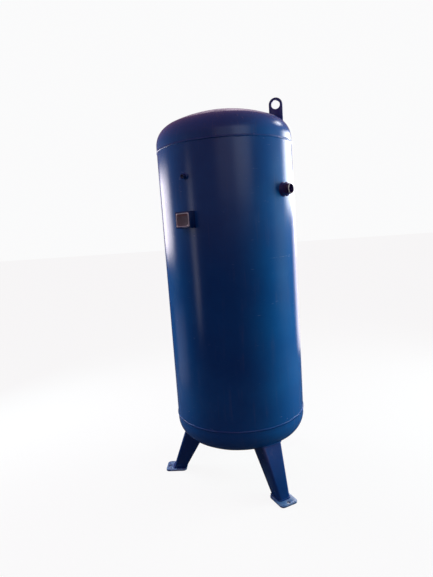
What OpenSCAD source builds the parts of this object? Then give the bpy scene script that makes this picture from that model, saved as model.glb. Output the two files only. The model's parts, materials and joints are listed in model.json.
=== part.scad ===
// Vertical air receiver: a welded steel pressure vessel on three pressed legs.
// The origin is on the vessel's axis at floor level, +Z is up and -Y is the front.
// Azimuths are in degrees from the front, positive towards +X.

/* [Vessel] */
// Outside diameter of the shell
shell_d = 650; // [520:10:800]
// Length of the shell between its two girth seams
shell_len = 1300; // [1000:10:1800]
// Plate thickness of the shell and the heads
wall = 5; // [4:0.5:8]
// Outside crown radius of the dished heads
crown_r = 650; // [480:5:720]
// Outside knuckle radius of the dished heads
knuckle_r = 98; // [70:1:120]
// Length of each head's straight skirt
skirt = 25; // [20:1:40]
// Height of the bottom girth seam above the floor
seam_h = 340; // [320:5:420]

/* [Welds] */
// Width of the butt weld beads
bead_w = 10; // [8:0.5:14]
// Height of the butt weld beads above the plate
bead_h = 2.5; // [1.5:0.1:3.5]
// Width of the butt welds' grooves at the plate's surface
groove_w = 7; // [5:0.5:8]
// Height of the unbevelled root under each groove
root_face = 1; // [0.5:0.1:2]
// Leg length of the fillet welds
fillet = 4; // [3:0.5:5]
// Width of the backing rings inside the girth seams
backing_w = 30; // [20:1:38]
// Thickness of the backing rings
backing_t = 3; // [2:0.5:5]
// Azimuth of the shell's long seam
long_seam_az = 110; // [100:1:125]

/* [Legs] */
// Width of a leg across its foot
leg_w = 60; // [50:1:72]
// Radial depth of a leg at its foot
leg_depth = 65; // [54:1:78]
// Sheet thickness of the legs
leg_t = 5; // [4:0.5:6]
// Outside bend radius of the legs
leg_bend = 12; // [10:0.5:15]
// Lean of a leg's outer face from the vertical
leg_splay = 20.6; // [17:0.1:24]
// Lean of a leg's free edges from the vertical
leg_edge_splay = 30.8; // [26:0.1:34]
// Lean of each side of a leg, which widens it towards the top
leg_flare = 5.8; // [3:0.1:8]
// How far the foot of a leg stands out beyond the shell
foot_overhang = 52; // [40:1:62]

/* [Feet] */
// How far a foot plate stands out past each side of its leg
foot_side = 15; // [12:0.5:20]
// How far a foot plate runs in past its leg
foot_heel = 5; // [5:0.5:15]
// Thickness of a foot plate
foot_t = 8; // [6:0.5:12]
// Corner radius of a foot plate
foot_corner = 18; // [5:1:22]
// How far a foot plate runs out past its leg
foot_nose = 40; // [36:1:48]
// Diameter of the anchor hole
anchor_d = 14; // [11:0.5:17]
// Distance from the anchor hole's centre to the foot plate's outer edge
anchor_edge = 17; // [14:0.5:20]

/* [Lifting lug] */
// Width of the lug, and the diameter of its round top
lug_w = 63; // [55:1:75]
// Thickness of the lug
lug_t = 12; // [8:0.5:16]
// Diameter of the lug's eye
lug_eye = 40; // [30:1:46]
// How far the eye's centre lies in from the shell's side
lug_inset = 65; // [54:1:90]
// Height of the eye's centre above the head under it
lug_rise = 61; // [50:1:90]
// Azimuth of the lug
lug_az = 81; // [60:1:100]

/* [Outlet] */
// Azimuth of the outlet
outlet_az = 53; // [40:1:65]
// Distance of the outlet below the top seam
outlet_drop = 224; // [120:1:600]
// Thread diameter of the outlet nipple
outlet_thread = 47.8; // [26:0.1:60]
// Wall of the outlet socket
outlet_wall = 5.1; // [4:0.1:8]
// Wall of the nipple's threaded ends
nipple_wall = 3.9; // [3:0.1:6]
// How far the outlet socket stands out from the shell
outlet_out = 12; // [8:0.5:20]
// How far the flats of the nipple's hexagon stand out past its thread
nipple_shoulder = 3.6; // [2:0.1:6]
// Thickness of the nipple's hexagon
nipple_hex_t = 11; // [8:0.5:14]
// Length of the nipple's free thread
nipple_end = 18; // [14:0.5:24]

/* [Inlet] */
// Azimuth of the inlet
inlet_az = -126; // [-140:1:-110]
// Distance of the inlet above the bottom seam
inlet_rise = 200; // [150:1:500]
// Bore of the inlet socket
inlet_bore = 45; // [24:0.1:57]
// Wall of the inlet socket
inlet_wall = 6.5; // [4:0.1:10]
// How far the inlet socket stands out from the shell
inlet_out = 25; // [10:0.5:40]

/* [Gauge socket] */
// Azimuth of the gauge socket
gauge_az = -31; // [-50:1:-20]
// Distance of the gauge socket below the top seam
gauge_drop = 145; // [60:1:220]
// Bore of the gauge socket
gauge_bore = 11.5; // [8:0.1:19]
// Wall of the gauge socket
gauge_wall = 4.75; // [3:0.25:7]
// How far the gauge socket stands out from the shell
gauge_out = 20; // [10:0.5:30]

/* [Safety valve socket] */
// Azimuth of the safety valve socket
safety_az = 150; // [140:1:160]
// Distance of the safety valve socket below the top seam
safety_drop = 142; // [80:1:600]
// Bore of the safety valve socket
safety_bore = 24; // [15:0.1:31]
// Wall of the safety valve socket
safety_wall = 5; // [3:0.1:8]
// How far the safety valve socket stands out from the shell
safety_out = 22; // [10:0.5:40]

/* [Inspection opening] */
// Azimuth of the inspection opening
inspection_az = 180; // [170:1:190]
// Distance of the inspection opening above the bottom seam
inspection_rise = 220; // [150:1:500]
// Thread diameter of the inspection plug
inspection_thread = 59.6; // [47.8:0.1:75]
// Wall of the inspection socket
inspection_wall = 8.2; // [6:0.1:12]
// How far the inspection socket stands out from the shell
inspection_out = 18; // [12:0.5:30]
// Width of the plug's hexagon across its flats
plug_hex = 46; // [36:0.5:55]
// Height of the plug's hexagon
plug_hex_h = 16; // [10:0.5:20]
// Thickness of the plug's flange
plug_flange = 5; // [3:0.5:8]
// Thickness of the plug's sealing washer
seal_t = 2; // [1:0.5:3]

/* [Nameplate] */
// Azimuth of the nameplate
plate_az = -31; // [-50:1:-20]
// Distance of the nameplate's centre below the top seam
plate_drop = 330; // [280:1:600]
// Width of the bracket's face beside each edge of the nameplate
side_margin = 4; // [3:0.5:8]
// Height of the bracket's face above and below the nameplate
end_margin = 7; // [3:0.5:10]
// How far the bracket's face stands out from the shell
bracket_out = 38; // [25:1:45]
// Sheet thickness of the bracket
bracket_t = 2; // [1.5:0.5:4]
// Width of the nameplate
plate_w = 69; // [56:1:90]
// Height of the nameplate
plate_len = 58; // [48:1:80]
// Thickness of the nameplate
plate_t = 1; // [0.5:0.1:2]
// Shank diameter of the rivets
rivet_d = 3.2; // [2.4:0.1:4.8]
// Distance from a rivet to the nameplate's edges
rivet_edge = 5; // [4:0.5:7]

/* [Drain] */
// Thread diameter of the drain valve
drain_thread = 21; // [16:0.1:26]
// Wall of the drain socket
drain_wall = 3; // [2.5:0.1:5]
// How far the drain socket stands down from the head
drain_out = 18; // [15:0.5:24]
// Length of the valve's thread inside the socket
valve_thread_len = 12; // [10:0.5:14]
// Length of the valve body below the socket
valve_len = 40; // [36:0.5:48]
// Diameter of the ball
ball_d = 19; // [16:0.5:23]
// Wall of the valve body round its ball chamber
valve_wall = 4.7; // [4:0.1:6]
// Bore through the valve
valve_bore = 10; // [7:0.5:12]
// Tapping diameter of the valve's outlet
valve_tap = 11.5; // [9.5:0.1:14]
// Shoulder left between the outlet's thread and the ball's seat
valve_tap_stop = 2; // [1.5:0.5:3]
// Diameter of the stem
stem_d = 6; // [5:0.1:7.2]
// Length of the lever from the stem
lever_len = 62; // [52:1:75]
// Width of the lever
lever_w = 12; // [10:0.5:15]
// Thickness of the lever
lever_t = 2; // [1.5:0.1:2.5]
// Wall of the lever's plastic grip
grip_wall = 1; // [0.8:0.1:1.5]

/* [Hidden] */
$fn = 128;
// The great radii of the vessel are drawn finer, for the thin welds that lie on them
FINE = 256;

RIGHT_AZ = 30;
LEFT_AZ = -90;
REAR_AZ = 150;

shell_r = shell_d / 2;
top_seam = seam_h + shell_len;

outlet_od = outlet_thread + 2 * outlet_wall;
outlet_z = top_seam - outlet_drop;
inlet_od = inlet_bore + 2 * inlet_wall;
inlet_z = seam_h + inlet_rise;
gauge_od = gauge_bore + 2 * gauge_wall;
gauge_z = top_seam - gauge_drop;
safety_od = safety_bore + 2 * safety_wall;
safety_z = top_seam - safety_drop;
inspection_od = inspection_thread + 2 * inspection_wall;
inspection_z = seam_h + inspection_rise;
drain_od = drain_thread + 2 * drain_wall;
plate_z = top_seam - plate_drop;
bracket_w = plate_w + 2 * side_margin;
bracket_h = plate_len + 2 * end_margin;

// Horizontal and vertical distance from a head's crown centre to its knuckle centre
knuckle_x = shell_r - knuckle_r;
crown_drop = sqrt(pow(crown_r - knuckle_r, 2) - pow(knuckle_x, 2));
crown_centre = skirt - crown_drop;
head_h = crown_centre + crown_r;
// Radius at which the crown runs into the knuckle
crown_edge = crown_r * knuckle_x / (crown_r - knuckle_r);
// How far a socket reaches into the vessel past its wall
socket_in = 2;
// Overlap that keeps cutting solids from ending on a face
cut = 1;
running_gap = 0.05;
ball_gap = 0.3;

foot_r = shell_r + foot_overhang;
foot_edge_r = foot_r + foot_nose;
foot_len = foot_heel + leg_depth + foot_nose;
foot_w = leg_w + 2 * foot_side;
anchor_r = foot_edge_r - anchor_edge;

lug_r = shell_r - lug_inset;
eye_z = top_seam + head_z(lug_r) + lug_rise;

valve_top = seam_h - head_h - drain_out;
valve_z = valve_top - valve_len / 2;

// Height of a head's outer surface above its seam at radius r
function head_z(r) = r < crown_edge
    ? crown_centre + sqrt(crown_r * crown_r - r * r)
    : skirt + sqrt(max(0, knuckle_r * knuckle_r - pow(r - knuckle_x, 2)));

// Turns +X to an azimuth
module to_azimuth(az) {
    rotate([0, 0, az - 90]) children();
}

// Puts the local +Z axis along the outward radius at an azimuth and a height above the floor
module on_shell(az, z) {
    translate([0, 0, z]) to_azimuth(az) rotate([0, 90, 0]) children();
}

module hexagon(flats, h) {
    rotate([0, 0, 30]) cylinder(r = flats / sqrt(3), h = h, $fn = 6);
}

// ---- The vessel ----

// Half section of a head filled to its axis, grown by g, with its seam on the X axis
module head_section(g) {
    crown_far = crown_r + g + cut;
    reach = crown_far / (crown_r - knuckle_r);
    square([shell_r + g, skirt]);
    intersection() {
        translate([knuckle_x, skirt]) circle(knuckle_r + g);
        square([shell_r + g + cut, skirt + knuckle_r + g + cut]);
    }
    intersection() {
        translate([0, crown_centre]) circle(crown_r + g);
        polygon([[0, 0], [knuckle_x, 0], [knuckle_x, skirt],
            [knuckle_x * reach, crown_centre + crown_drop * reach],
            [0, crown_centre + crown_far]]);
    }
}

// A head filled to its axis, used to cut what sits on it
module head_solid(g) {
    rotate_extrude() head_section(g);
}

module dished_head() {
    rotate_extrude() difference() {
        head_section(0);
        head_section(-wall);
        translate([0, -cut]) square([shell_r - wall, cut + skirt / 2]);
    }
}

module at_top() {
    translate([0, 0, top_seam]) children();
}

module at_bottom() {
    translate([0, 0, seam_h]) mirror([0, 0, 1]) children();
}

module shell_solid(g) {
    translate([0, 0, seam_h]) cylinder(r = shell_r + g, h = shell_len, $fn = FINE);
}

module port_hole(az, z, d) {
    on_shell(az, z) translate([0, 0, shell_r / 2]) cylinder(d = d, h = shell_r);
}

module shell() {
    color("royalblue") difference() {
        shell_solid(0);
        translate([0, 0, seam_h - cut])
            cylinder(r = shell_r - wall, h = shell_len + 2 * cut, $fn = FINE);
        girth_groove(seam_h);
        girth_groove(top_seam);
        long_groove();
        port_hole(outlet_az, outlet_z, outlet_od);
        port_hole(inlet_az, inlet_z, inlet_od);
        port_hole(gauge_az, gauge_z, gauge_od);
        port_hole(safety_az, safety_z, safety_od);
        port_hole(inspection_az, inspection_z, inspection_od);
    }
}

module top_head() {
    color("royalblue") difference() {
        at_top() dished_head();
        girth_groove(top_seam);
    }
}

module bottom_head() {
    color("royalblue") difference() {
        at_bottom() dished_head();
        girth_groove(seam_h);
        translate([0, 0, seam_h - head_h - cut]) cylinder(d = drain_od, h = head_h);
    }
}

// ---- The butt welds: each fills a bevelled groove and stands proud of the plate ----

// Section of a groove, with the plate's surface on the Y axis and its top inside the bead's crown
module groove_section() {
    polygon([[root_face - wall, 0], [0, -groove_w / 2], [bead_h / 4, -groove_w / 2],
        [bead_h / 4, groove_w / 2], [0, groove_w / 2]]);
}

module crown_section() {
    bead_r = (pow(bead_w / 2, 2) + pow(bead_h, 2)) / (2 * bead_h);
    intersection() {
        translate([bead_h - bead_r, 0]) circle(bead_r);
        translate([0, -bead_w]) square([bead_h + cut, 2 * bead_w]);
    }
}

module girth_groove(z) {
    translate([0, 0, z]) rotate_extrude() translate([shell_r, 0]) groove_section();
}

module girth_weld(z) {
    color("mediumblue") {
        girth_groove(z);
        translate([0, 0, z]) rotate_extrude() translate([shell_r, 0]) crown_section();
    }
}

module top_girth_weld() {
    girth_weld(top_seam);
}

module bottom_girth_weld() {
    girth_weld(seam_h);
}

// Stands a section on the shell at the long seam, from one girth bead to the other
module along_seam() {
    translate([0, 0, seam_h + bead_w / 2]) to_azimuth(long_seam_az)
        linear_extrude(shell_len - bead_w) translate([shell_r, 0]) children();
}

module long_groove() {
    along_seam() groove_section();
}

module shell_seam_weld() {
    color("mediumblue") {
        long_groove();
        difference() {
            along_seam() {
                crown_section();
                translate([-cut, -bead_w / 2]) square([cut, bead_w]);
            }
            shell_solid(0);
        }
    }
}

module backing_ring(z) {
    color("dimgray") translate([0, 0, z - backing_w / 2]) difference() {
        cylinder(r = shell_r - wall, h = backing_w, $fn = FINE);
        translate([0, 0, -cut])
            cylinder(r = shell_r - wall - backing_t, h = backing_w + 2 * cut, $fn = FINE);
    }
}

module top_backing_ring() {
    backing_ring(top_seam);
}

module bottom_backing_ring() {
    backing_ring(seam_h);
}

// ---- The lifting lug ----

// The lug before it is cut to the head, grown by g all round
module lug_blank(g) {
    to_azimuth(lug_az) rotate([90, 0, 0]) linear_extrude(lug_t + 2 * g, center = true) {
        translate([lug_r, eye_z]) circle(lug_w / 2 + g);
        translate([lug_r - lug_w / 2 - g, top_seam + skirt]) square([lug_w + 2 * g, eye_z - top_seam - skirt]);
    }
}

module lifting_lug() {
    color("royalblue") difference() {
        lug_blank(0);
        at_top() head_solid(0);
        translate([0, 0, eye_z]) to_azimuth(lug_az) translate([lug_r, 0, 0])
            rotate([90, 0, 0]) cylinder(d = lug_eye, h = 2 * lug_t, center = true);
    }
}

module lifting_lug_weld() {
    color("mediumblue") difference() {
        intersection() {
            lug_blank(fillet);
            at_top() head_solid(fillet);
        }
        lug_blank(0);
        at_top() head_solid(0);
    }
}

// ---- Sockets in the shell ----

// A socket from inside the wall to its mouth, along +Z from the vessel's axis
module socket(od, bore, out) {
    difference() {
        translate([0, 0, shell_r - wall - socket_in]) cylinder(d = od, h = wall + socket_in + out);
        cylinder(d = bore, h = 2 * shell_r);
    }
}

module socket_weld(od) {
    root = shell_r - sqrt(pow(shell_r, 2) - pow(od / 2 + fillet, 2)) + cut;
    difference() {
        translate([0, 0, shell_r - root])
            cylinder(r1 = od / 2 + fillet + root, r2 = od / 2 + cut / 2, h = fillet + root);
        cylinder(d = od, h = 2 * shell_r);
        rotate([0, 90, 0]) cylinder(r = shell_r, h = 2 * shell_r, center = true, $fn = FINE);
    }
}

module outlet_socket() {
    color("royalblue") on_shell(outlet_az, outlet_z) socket(outlet_od, outlet_thread, outlet_out);
}

module outlet_socket_weld() {
    color("mediumblue") on_shell(outlet_az, outlet_z) socket_weld(outlet_od);
}

// A hexagon nipple: one thread inside the socket, a hexagon on its mouth and one free thread
module outlet_nipple() {
    thread_start = shell_r - wall;
    color("midnightblue") on_shell(outlet_az, outlet_z) difference() {
        union() {
            translate([0, 0, thread_start])
                cylinder(d = outlet_thread, h = wall + outlet_out + nipple_hex_t + nipple_end);
            translate([0, 0, shell_r + outlet_out]) hexagon(outlet_thread + 2 * nipple_shoulder, nipple_hex_t);
        }
        cylinder(d = outlet_thread - 2 * nipple_wall, h = 2 * shell_r);
    }
}

module inlet_socket() {
    color("royalblue") on_shell(inlet_az, inlet_z) socket(inlet_od, inlet_bore, inlet_out);
}

module inlet_socket_weld() {
    color("mediumblue") on_shell(inlet_az, inlet_z) socket_weld(inlet_od);
}

module gauge_socket() {
    color("royalblue") on_shell(gauge_az, gauge_z) socket(gauge_od, gauge_bore, gauge_out);
}

module gauge_socket_weld() {
    color("mediumblue") on_shell(gauge_az, gauge_z) socket_weld(gauge_od);
}

module safety_valve_socket() {
    color("royalblue") on_shell(safety_az, safety_z) socket(safety_od, safety_bore, safety_out);
}

module safety_valve_socket_weld() {
    color("mediumblue") on_shell(safety_az, safety_z) socket_weld(safety_od);
}

module inspection_socket() {
    color("royalblue") on_shell(inspection_az, inspection_z)
        socket(inspection_od, inspection_thread, inspection_out);
}

module inspection_socket_weld() {
    color("mediumblue") on_shell(inspection_az, inspection_z) socket_weld(inspection_od);
}

// A screwed plug: a thread in the socket, a round flange on the seal and a hexagon
module inspection_plug() {
    mouth = shell_r + inspection_out;
    flange_z = mouth + seal_t;
    color("gray") on_shell(inspection_az, inspection_z) {
        translate([0, 0, shell_r - wall]) cylinder(d = inspection_thread, h = flange_z - shell_r + wall + cut);
        translate([0, 0, flange_z]) cylinder(d = inspection_od, h = plug_flange);
        translate([0, 0, flange_z]) hexagon(plug_hex, plug_flange + plug_hex_h);
    }
}

module inspection_seal() {
    color("black") on_shell(inspection_az, inspection_z)
        translate([0, 0, shell_r + inspection_out]) difference() {
            cylinder(d = inspection_od, h = seal_t);
            translate([0, 0, -cut]) cylinder(d = inspection_thread, h = seal_t + 2 * cut);
        }
}

// ---- The nameplate ----

// Local X runs down the vessel and local Y along the plate's width
module on_plate() {
    on_shell(plate_az, plate_z) children();
}

module plate_box(h, w, z0, z1) {
    translate([-h / 2, -w / 2, z0]) cube([h, w, z1 - z0]);
}

module rivet_places() {
    for (x = [-1, 1], y = [-1, 1])
        translate([x * (plate_len / 2 - rivet_edge), y * (plate_w / 2 - rivet_edge), 0]) children();
}

// A U of sheet, open at its top and bottom, whose two sides stand on the shell
module bracket_sheet(g) {
    face = shell_r + bracket_out;
    inside_w = bracket_w - 2 * bracket_t - 2 * g;
    difference() {
        plate_box(bracket_h + 2 * g, bracket_w + 2 * g, shell_r / 2, face);
        plate_box(bracket_h + 2 * cut + 2 * g, inside_w, 0, face - bracket_t);
    }
}

module nameplate_bracket() {
    color("royalblue") difference() {
        on_plate() bracket_sheet(0);
        shell_solid(0);
        on_plate() translate([0, 0, shell_r]) rivet_places() cylinder(d = rivet_d, h = 2 * bracket_out);
    }
}

module nameplate_bracket_weld() {
    weld_leg = bracket_t;
    color("mediumblue") difference() {
        intersection() {
            on_plate() bracket_sheet(weld_leg);
            shell_solid(weld_leg);
        }
        on_plate() bracket_sheet(0);
        shell_solid(0);
    }
}

module nameplate() {
    color("rosybrown") on_plate() difference() {
        plate_box(plate_len, plate_w, shell_r + bracket_out, shell_r + bracket_out + plate_t);
        translate([0, 0, shell_r]) rivet_places() cylinder(d = rivet_d, h = 2 * bracket_out);
    }
}

// Blind rivets: a shank through plate and bracket, a domed head and a flattened tail behind
module nameplate_rivets() {
    head_r = rivet_d;
    head_t = rivet_d / 2;
    dome_r = (head_r * head_r + head_t * head_t) / (2 * head_t);
    face = shell_r + bracket_out + plate_t;
    back = shell_r + bracket_out - bracket_t;
    color("silver") on_plate() rivet_places() {
        intersection() {
            translate([0, 0, face + head_t - dome_r]) sphere(dome_r);
            translate([0, 0, face]) cylinder(r = head_r, h = head_t + cut);
        }
        translate([0, 0, back - head_t]) cylinder(d = rivet_d, h = face - back + head_t + head_t / 2);
        translate([0, 0, back - head_t]) cylinder(r = rivet_d * 0.75, h = head_t);
    }
}

// ---- The drain ----

module drain_socket() {
    color("royalblue") difference() {
        translate([0, 0, valve_top]) cylinder(d = drain_od, h = drain_out + wall + socket_in);
        translate([0, 0, valve_top - cut]) cylinder(d = drain_thread, h = head_h);
    }
}

module drain_socket_weld() {
    head_low = seam_h - head_h;
    rise = fillet / 2;
    color("mediumblue") difference() {
        translate([0, 0, head_low - fillet])
            cylinder(r1 = drain_od / 2 + cut / 2, r2 = drain_od / 2 + fillet + rise, h = fillet + rise);
        translate([0, 0, head_low - drain_out]) cylinder(d = drain_od, h = head_h);
        at_bottom() head_solid(0);
    }
}

// Sizes inside the valve: the ball chamber, its end insert and the stem's gland
chamber_r = ball_d / 2 + ball_gap;
valve_od = 2 * (chamber_r + valve_wall);
valve_hex = valve_od - 2;
seat_t = 4;
seat_z = ball_d * 0.275;
insert_z = seat_z + seat_t;
insert_flange = 3;
valve_tap_len = valve_len / 2 - insert_z - valve_tap_stop;
stem_bore_r = stem_d / 2 + running_gap;
shoulder_r = stem_d / 2 + 1.5;
shoulder_t = 1.5;
shoulder_y = ball_d / 2 + ball_gap;
packing_r = stem_d / 2 + 2.2;
packing_y = valve_od / 2 + 0.5;
packing_t = 3;
boss_y = packing_y + packing_t + 3;
boss_r = packing_r + 2.5;
gland_hex_t = 4;
lever_y = boss_y + gland_hex_t + 1;
lever_nut_t = 4.5;
stem_end = lever_y + lever_t + lever_nut_t + 1;
tang_t = stem_d / 2;
tang_z = ball_d / 2 - 3;

// Puts the origin at the ball's centre
module at_valve() {
    translate([0, 0, valve_z]) children();
}

// Puts the local +Z axis along the stem, with local X along the pipe
module along_stem() {
    at_valve() rotate([-90, 0, 0]) children();
}

// The body takes the ball from below and holds the stem in a boss at its rear
module drain_valve_body() {
    barrel_top = valve_len / 4;
    barrel_low = insert_flange - valve_len / 2;
    color("goldenrod") difference() {
        union() {
            at_valve() translate([0, 0, barrel_low]) cylinder(d = valve_od, h = barrel_top - barrel_low);
            at_valve() translate([0, 0, barrel_top]) hexagon(valve_hex, valve_len / 2 - barrel_top);
            translate([0, 0, valve_top - cut]) cylinder(d = drain_thread, h = valve_thread_len + cut);
            along_stem() cylinder(r = boss_r, h = boss_y);
        }
        at_valve() cylinder(d = valve_bore, h = valve_len);
        at_valve() translate([0, 0, -valve_len / 2]) cylinder(r = chamber_r, h = valve_len / 2 + insert_z);
        along_stem() cylinder(r = stem_bore_r, h = boss_y + cut);
        along_stem() cylinder(r = shoulder_r + ball_gap, h = shoulder_y + shoulder_t + running_gap);
        along_stem() translate([0, 0, packing_y]) cylinder(r = packing_r, h = boss_y);
    }
}

// The screwed insert below the ball, tapped at its free outlet
module drain_valve_end() {
    color("goldenrod") at_valve() difference() {
        union() {
            translate([0, 0, -valve_len / 2]) cylinder(r = chamber_r, h = valve_len / 2 - insert_z);
            translate([0, 0, -valve_len / 2]) hexagon(valve_hex, insert_flange);
        }
        translate([0, 0, -valve_len / 2 - cut]) cylinder(d = valve_bore, h = valve_len);
        translate([0, 0, -valve_len / 2 - cut]) cylinder(d = valve_tap, h = valve_tap_len + cut);
    }
}

// Two seat rings, each with a spherical face towards the ball
module drain_valve_seats() {
    color("white") at_valve() for (side = [0, 1]) mirror([0, 0, side]) difference() {
        translate([0, 0, seat_z]) cylinder(r = chamber_r, h = seat_t);
        cylinder(d = valve_bore, h = valve_len);
        sphere(ball_d / 2 + running_gap);
    }
}

// The ball is shut at rest: its bore lies along X, across the pipe
module drain_valve_ball() {
    color("silver") difference() {
        at_valve() sphere(ball_d / 2);
        at_valve() rotate([0, 90, 0]) cylinder(d = valve_bore, h = 2 * ball_d, center = true);
        along_stem() translate([-ball_d, -tang_t / 2, tang_z]) cube([2 * ball_d, tang_t, ball_d]);
    }
}

module drain_valve_stem() {
    color("silver") along_stem() {
        intersection() {
            translate([-stem_d / 2, -tang_t / 2, tang_z]) cube([stem_d, tang_t, shoulder_y - tang_z]);
            cylinder(d = stem_d, h = ball_d);
        }
        translate([0, 0, shoulder_y]) cylinder(r = shoulder_r, h = shoulder_t);
        translate([0, 0, shoulder_y]) cylinder(d = stem_d, h = stem_end - shoulder_y);
    }
}

module drain_valve_packing() {
    color("white") along_stem() translate([0, 0, packing_y]) difference() {
        cylinder(r = packing_r, h = packing_t);
        translate([0, 0, -cut]) cylinder(r = stem_bore_r, h = packing_t + 2 * cut);
    }
}

module drain_valve_gland_nut() {
    spigot_y = packing_y + packing_t;
    color("goldenrod") along_stem() difference() {
        union() {
            translate([0, 0, spigot_y]) cylinder(r = packing_r, h = boss_y - spigot_y + cut);
            translate([0, 0, boss_y]) hexagon(2 * boss_r - 1, gland_hex_t);
        }
        cylinder(r = stem_bore_r, h = stem_end);
    }
}

// A flat steel strip with a round head on the stem; it lies along +X while the valve is shut
module lever_outline() {
    circle(lever_w / 2);
    translate([0, -lever_w / 2]) square([lever_len - lever_w / 2, lever_w]);
    translate([lever_len - lever_w / 2, 0]) circle(lever_w / 2);
}

module drain_valve_lever() {
    color("lightgray") along_stem() translate([0, 0, lever_y]) difference() {
        linear_extrude(lever_t) lever_outline();
        translate([0, 0, -cut]) cylinder(d = stem_d, h = lever_t + 2 * cut);
    }
}

// A moulded sleeve over the free two thirds of the lever
module drain_valve_grip() {
    grip_start = lever_len / 3;
    color("red") along_stem() translate([0, 0, lever_y]) difference() {
        translate([0, 0, -grip_wall]) linear_extrude(lever_t + 2 * grip_wall) {
            translate([grip_start, -lever_w / 2 - grip_wall])
                square([lever_len - grip_start - lever_w / 2, lever_w + 2 * grip_wall]);
            translate([lever_len - lever_w / 2, 0]) circle(lever_w / 2 + grip_wall);
        }
        linear_extrude(lever_t) lever_outline();
    }
}

module drain_valve_lever_nut() {
    color("lightgray") along_stem() translate([0, 0, lever_y + lever_t]) difference() {
        hexagon(stem_d + 4, lever_nut_t);
        translate([0, 0, -cut]) cylinder(d = stem_d, h = lever_nut_t + 2 * cut);
    }
}

// ---- The legs and feet ----

// Unit vectors of a leg's half: along its bent edge, and out of its outer face and its side
edge_dir = [-tan(leg_splay), tan(leg_flare), 1] / norm([tan(leg_splay), tan(leg_flare), 1]);
face_out = [cos(leg_splay), 0, sin(leg_splay)];
side_out = [0, cos(leg_flare), -sin(leg_flare)];
across = cross(edge_dir, face_out);
sheet_reach = 3 * leg_depth;

// Filled corner of the leg's section, offset inwards from the sheet's outside by d
module leg_corner(d) {
    side = [face_out * side_out, across * side_out];
    along_face = [0, -1];
    along_side = [-side[1], side[0]];
    centre = -leg_bend * ([1, 0] + side) / (1 + side[0]);
    r = max(leg_bend - d, 0.5);
    far = centre + sheet_reach * (along_face + along_side);
    translate(centre) circle(r);
    polygon([centre + [r, 0], centre + [r, 0] + sheet_reach * along_face, far,
        centre + r * side + sheet_reach * along_side, centre + r * side]);
}

// The half of a leg's sheet at +Y, grown by g all round, before it is cut to the head
module leg_half(g) {
    edge = foot_r - leg_depth;
    lean = tan(leg_edge_splay);
    top = seam_h - foot_t;
    intersection() {
        multmatrix([
            [face_out[0], across[0], edge_dir[0], foot_r],
            [face_out[1], across[1], edge_dir[1], leg_w / 2],
            [face_out[2], across[2], edge_dir[2], foot_t],
            [0, 0, 0, 1]]) translate([0, 0, -leg_depth]) difference() {
                linear_extrude(seam_h * 1.5) leg_corner(-g);
                translate([0, 0, -cut]) linear_extrude(seam_h * 1.5 + 2 * cut) leg_corner(leg_t + g);
            }
        translate([0, leg_w * 2, foot_t]) rotate([90, 0, 0]) linear_extrude(leg_w * 2 + cut)
            polygon([[edge - g, 0], [foot_edge_r, 0], [foot_edge_r, top], [edge - g - lean * top, top]]);
    }
}

module leg_blank(az, g) {
    to_azimuth(az) for (side = [0, 1]) mirror([0, side, 0]) leg_half(g);
}

module leg(az) {
    color("navy") difference() {
        leg_blank(az, 0);
        at_bottom() head_solid(0);
    }
}

module leg_weld(az) {
    color("mediumblue") difference() {
        intersection() {
            leg_blank(az, fillet);
            at_bottom() head_solid(fillet);
        }
        leg_blank(az, 0);
        at_bottom() head_solid(0);
    }
}

module foot_plate(az) {
    color("cornflowerblue") to_azimuth(az) difference() {
        linear_extrude(foot_t) {
            for (x = [foot_corner, foot_len - foot_corner], y = [foot_corner, foot_w - foot_corner])
                translate([foot_edge_r - foot_len + x, y - foot_w / 2]) circle(foot_corner);
            translate([foot_edge_r - foot_len + foot_corner, -foot_w / 2])
                square([foot_len - 2 * foot_corner, foot_w]);
            translate([foot_edge_r - foot_len, foot_corner - foot_w / 2])
                square([foot_len, foot_w - 2 * foot_corner]);
        }
        translate([anchor_r, 0, -cut]) cylinder(d = anchor_d, h = foot_t + 2 * cut);
    }
}

module foot_weld(az) {
    color("mediumblue") difference() {
        intersection() {
            leg_blank(az, fillet);
            translate([0, 0, foot_t]) cylinder(r = foot_edge_r, h = fillet);
        }
        leg_blank(az, 0);
    }
}

module leg_right() { leg(RIGHT_AZ); }
module leg_left() { leg(LEFT_AZ); }
module leg_rear() { leg(REAR_AZ); }
module leg_right_weld() { leg_weld(RIGHT_AZ); }
module leg_left_weld() { leg_weld(LEFT_AZ); }
module leg_rear_weld() { leg_weld(REAR_AZ); }
module foot_plate_right() { foot_plate(RIGHT_AZ); }
module foot_plate_left() { foot_plate(LEFT_AZ); }
module foot_plate_rear() { foot_plate(REAR_AZ); }
module foot_right_weld() { foot_weld(RIGHT_AZ); }
module foot_left_weld() { foot_weld(LEFT_AZ); }
module foot_rear_weld() { foot_weld(REAR_AZ); }

shell();
shell_seam_weld();
top_head();
bottom_head();
top_girth_weld();
bottom_girth_weld();
top_backing_ring();
bottom_backing_ring();
lifting_lug();
lifting_lug_weld();
outlet_socket();
outlet_socket_weld();
outlet_nipple();
inlet_socket();
inlet_socket_weld();
gauge_socket();
gauge_socket_weld();
safety_valve_socket();
safety_valve_socket_weld();
inspection_socket();
inspection_socket_weld();
inspection_plug();
inspection_seal();
nameplate_bracket();
nameplate_bracket_weld();
nameplate();
nameplate_rivets();
drain_socket();
drain_socket_weld();
drain_valve_body();
drain_valve_end();
drain_valve_seats();
drain_valve_ball();
drain_valve_stem();
drain_valve_packing();
drain_valve_gland_nut();
drain_valve_lever();
drain_valve_grip();
drain_valve_lever_nut();
leg_right();
leg_left();
leg_rear();
leg_right_weld();
leg_left_weld();
leg_rear_weld();
foot_plate_right();
foot_plate_left();
foot_plate_rear();
foot_right_weld();
foot_left_weld();
foot_rear_weld();
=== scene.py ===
import json
import math

import bmesh
import bpy
import numpy as np
from mathutils import Matrix, Vector


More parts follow.
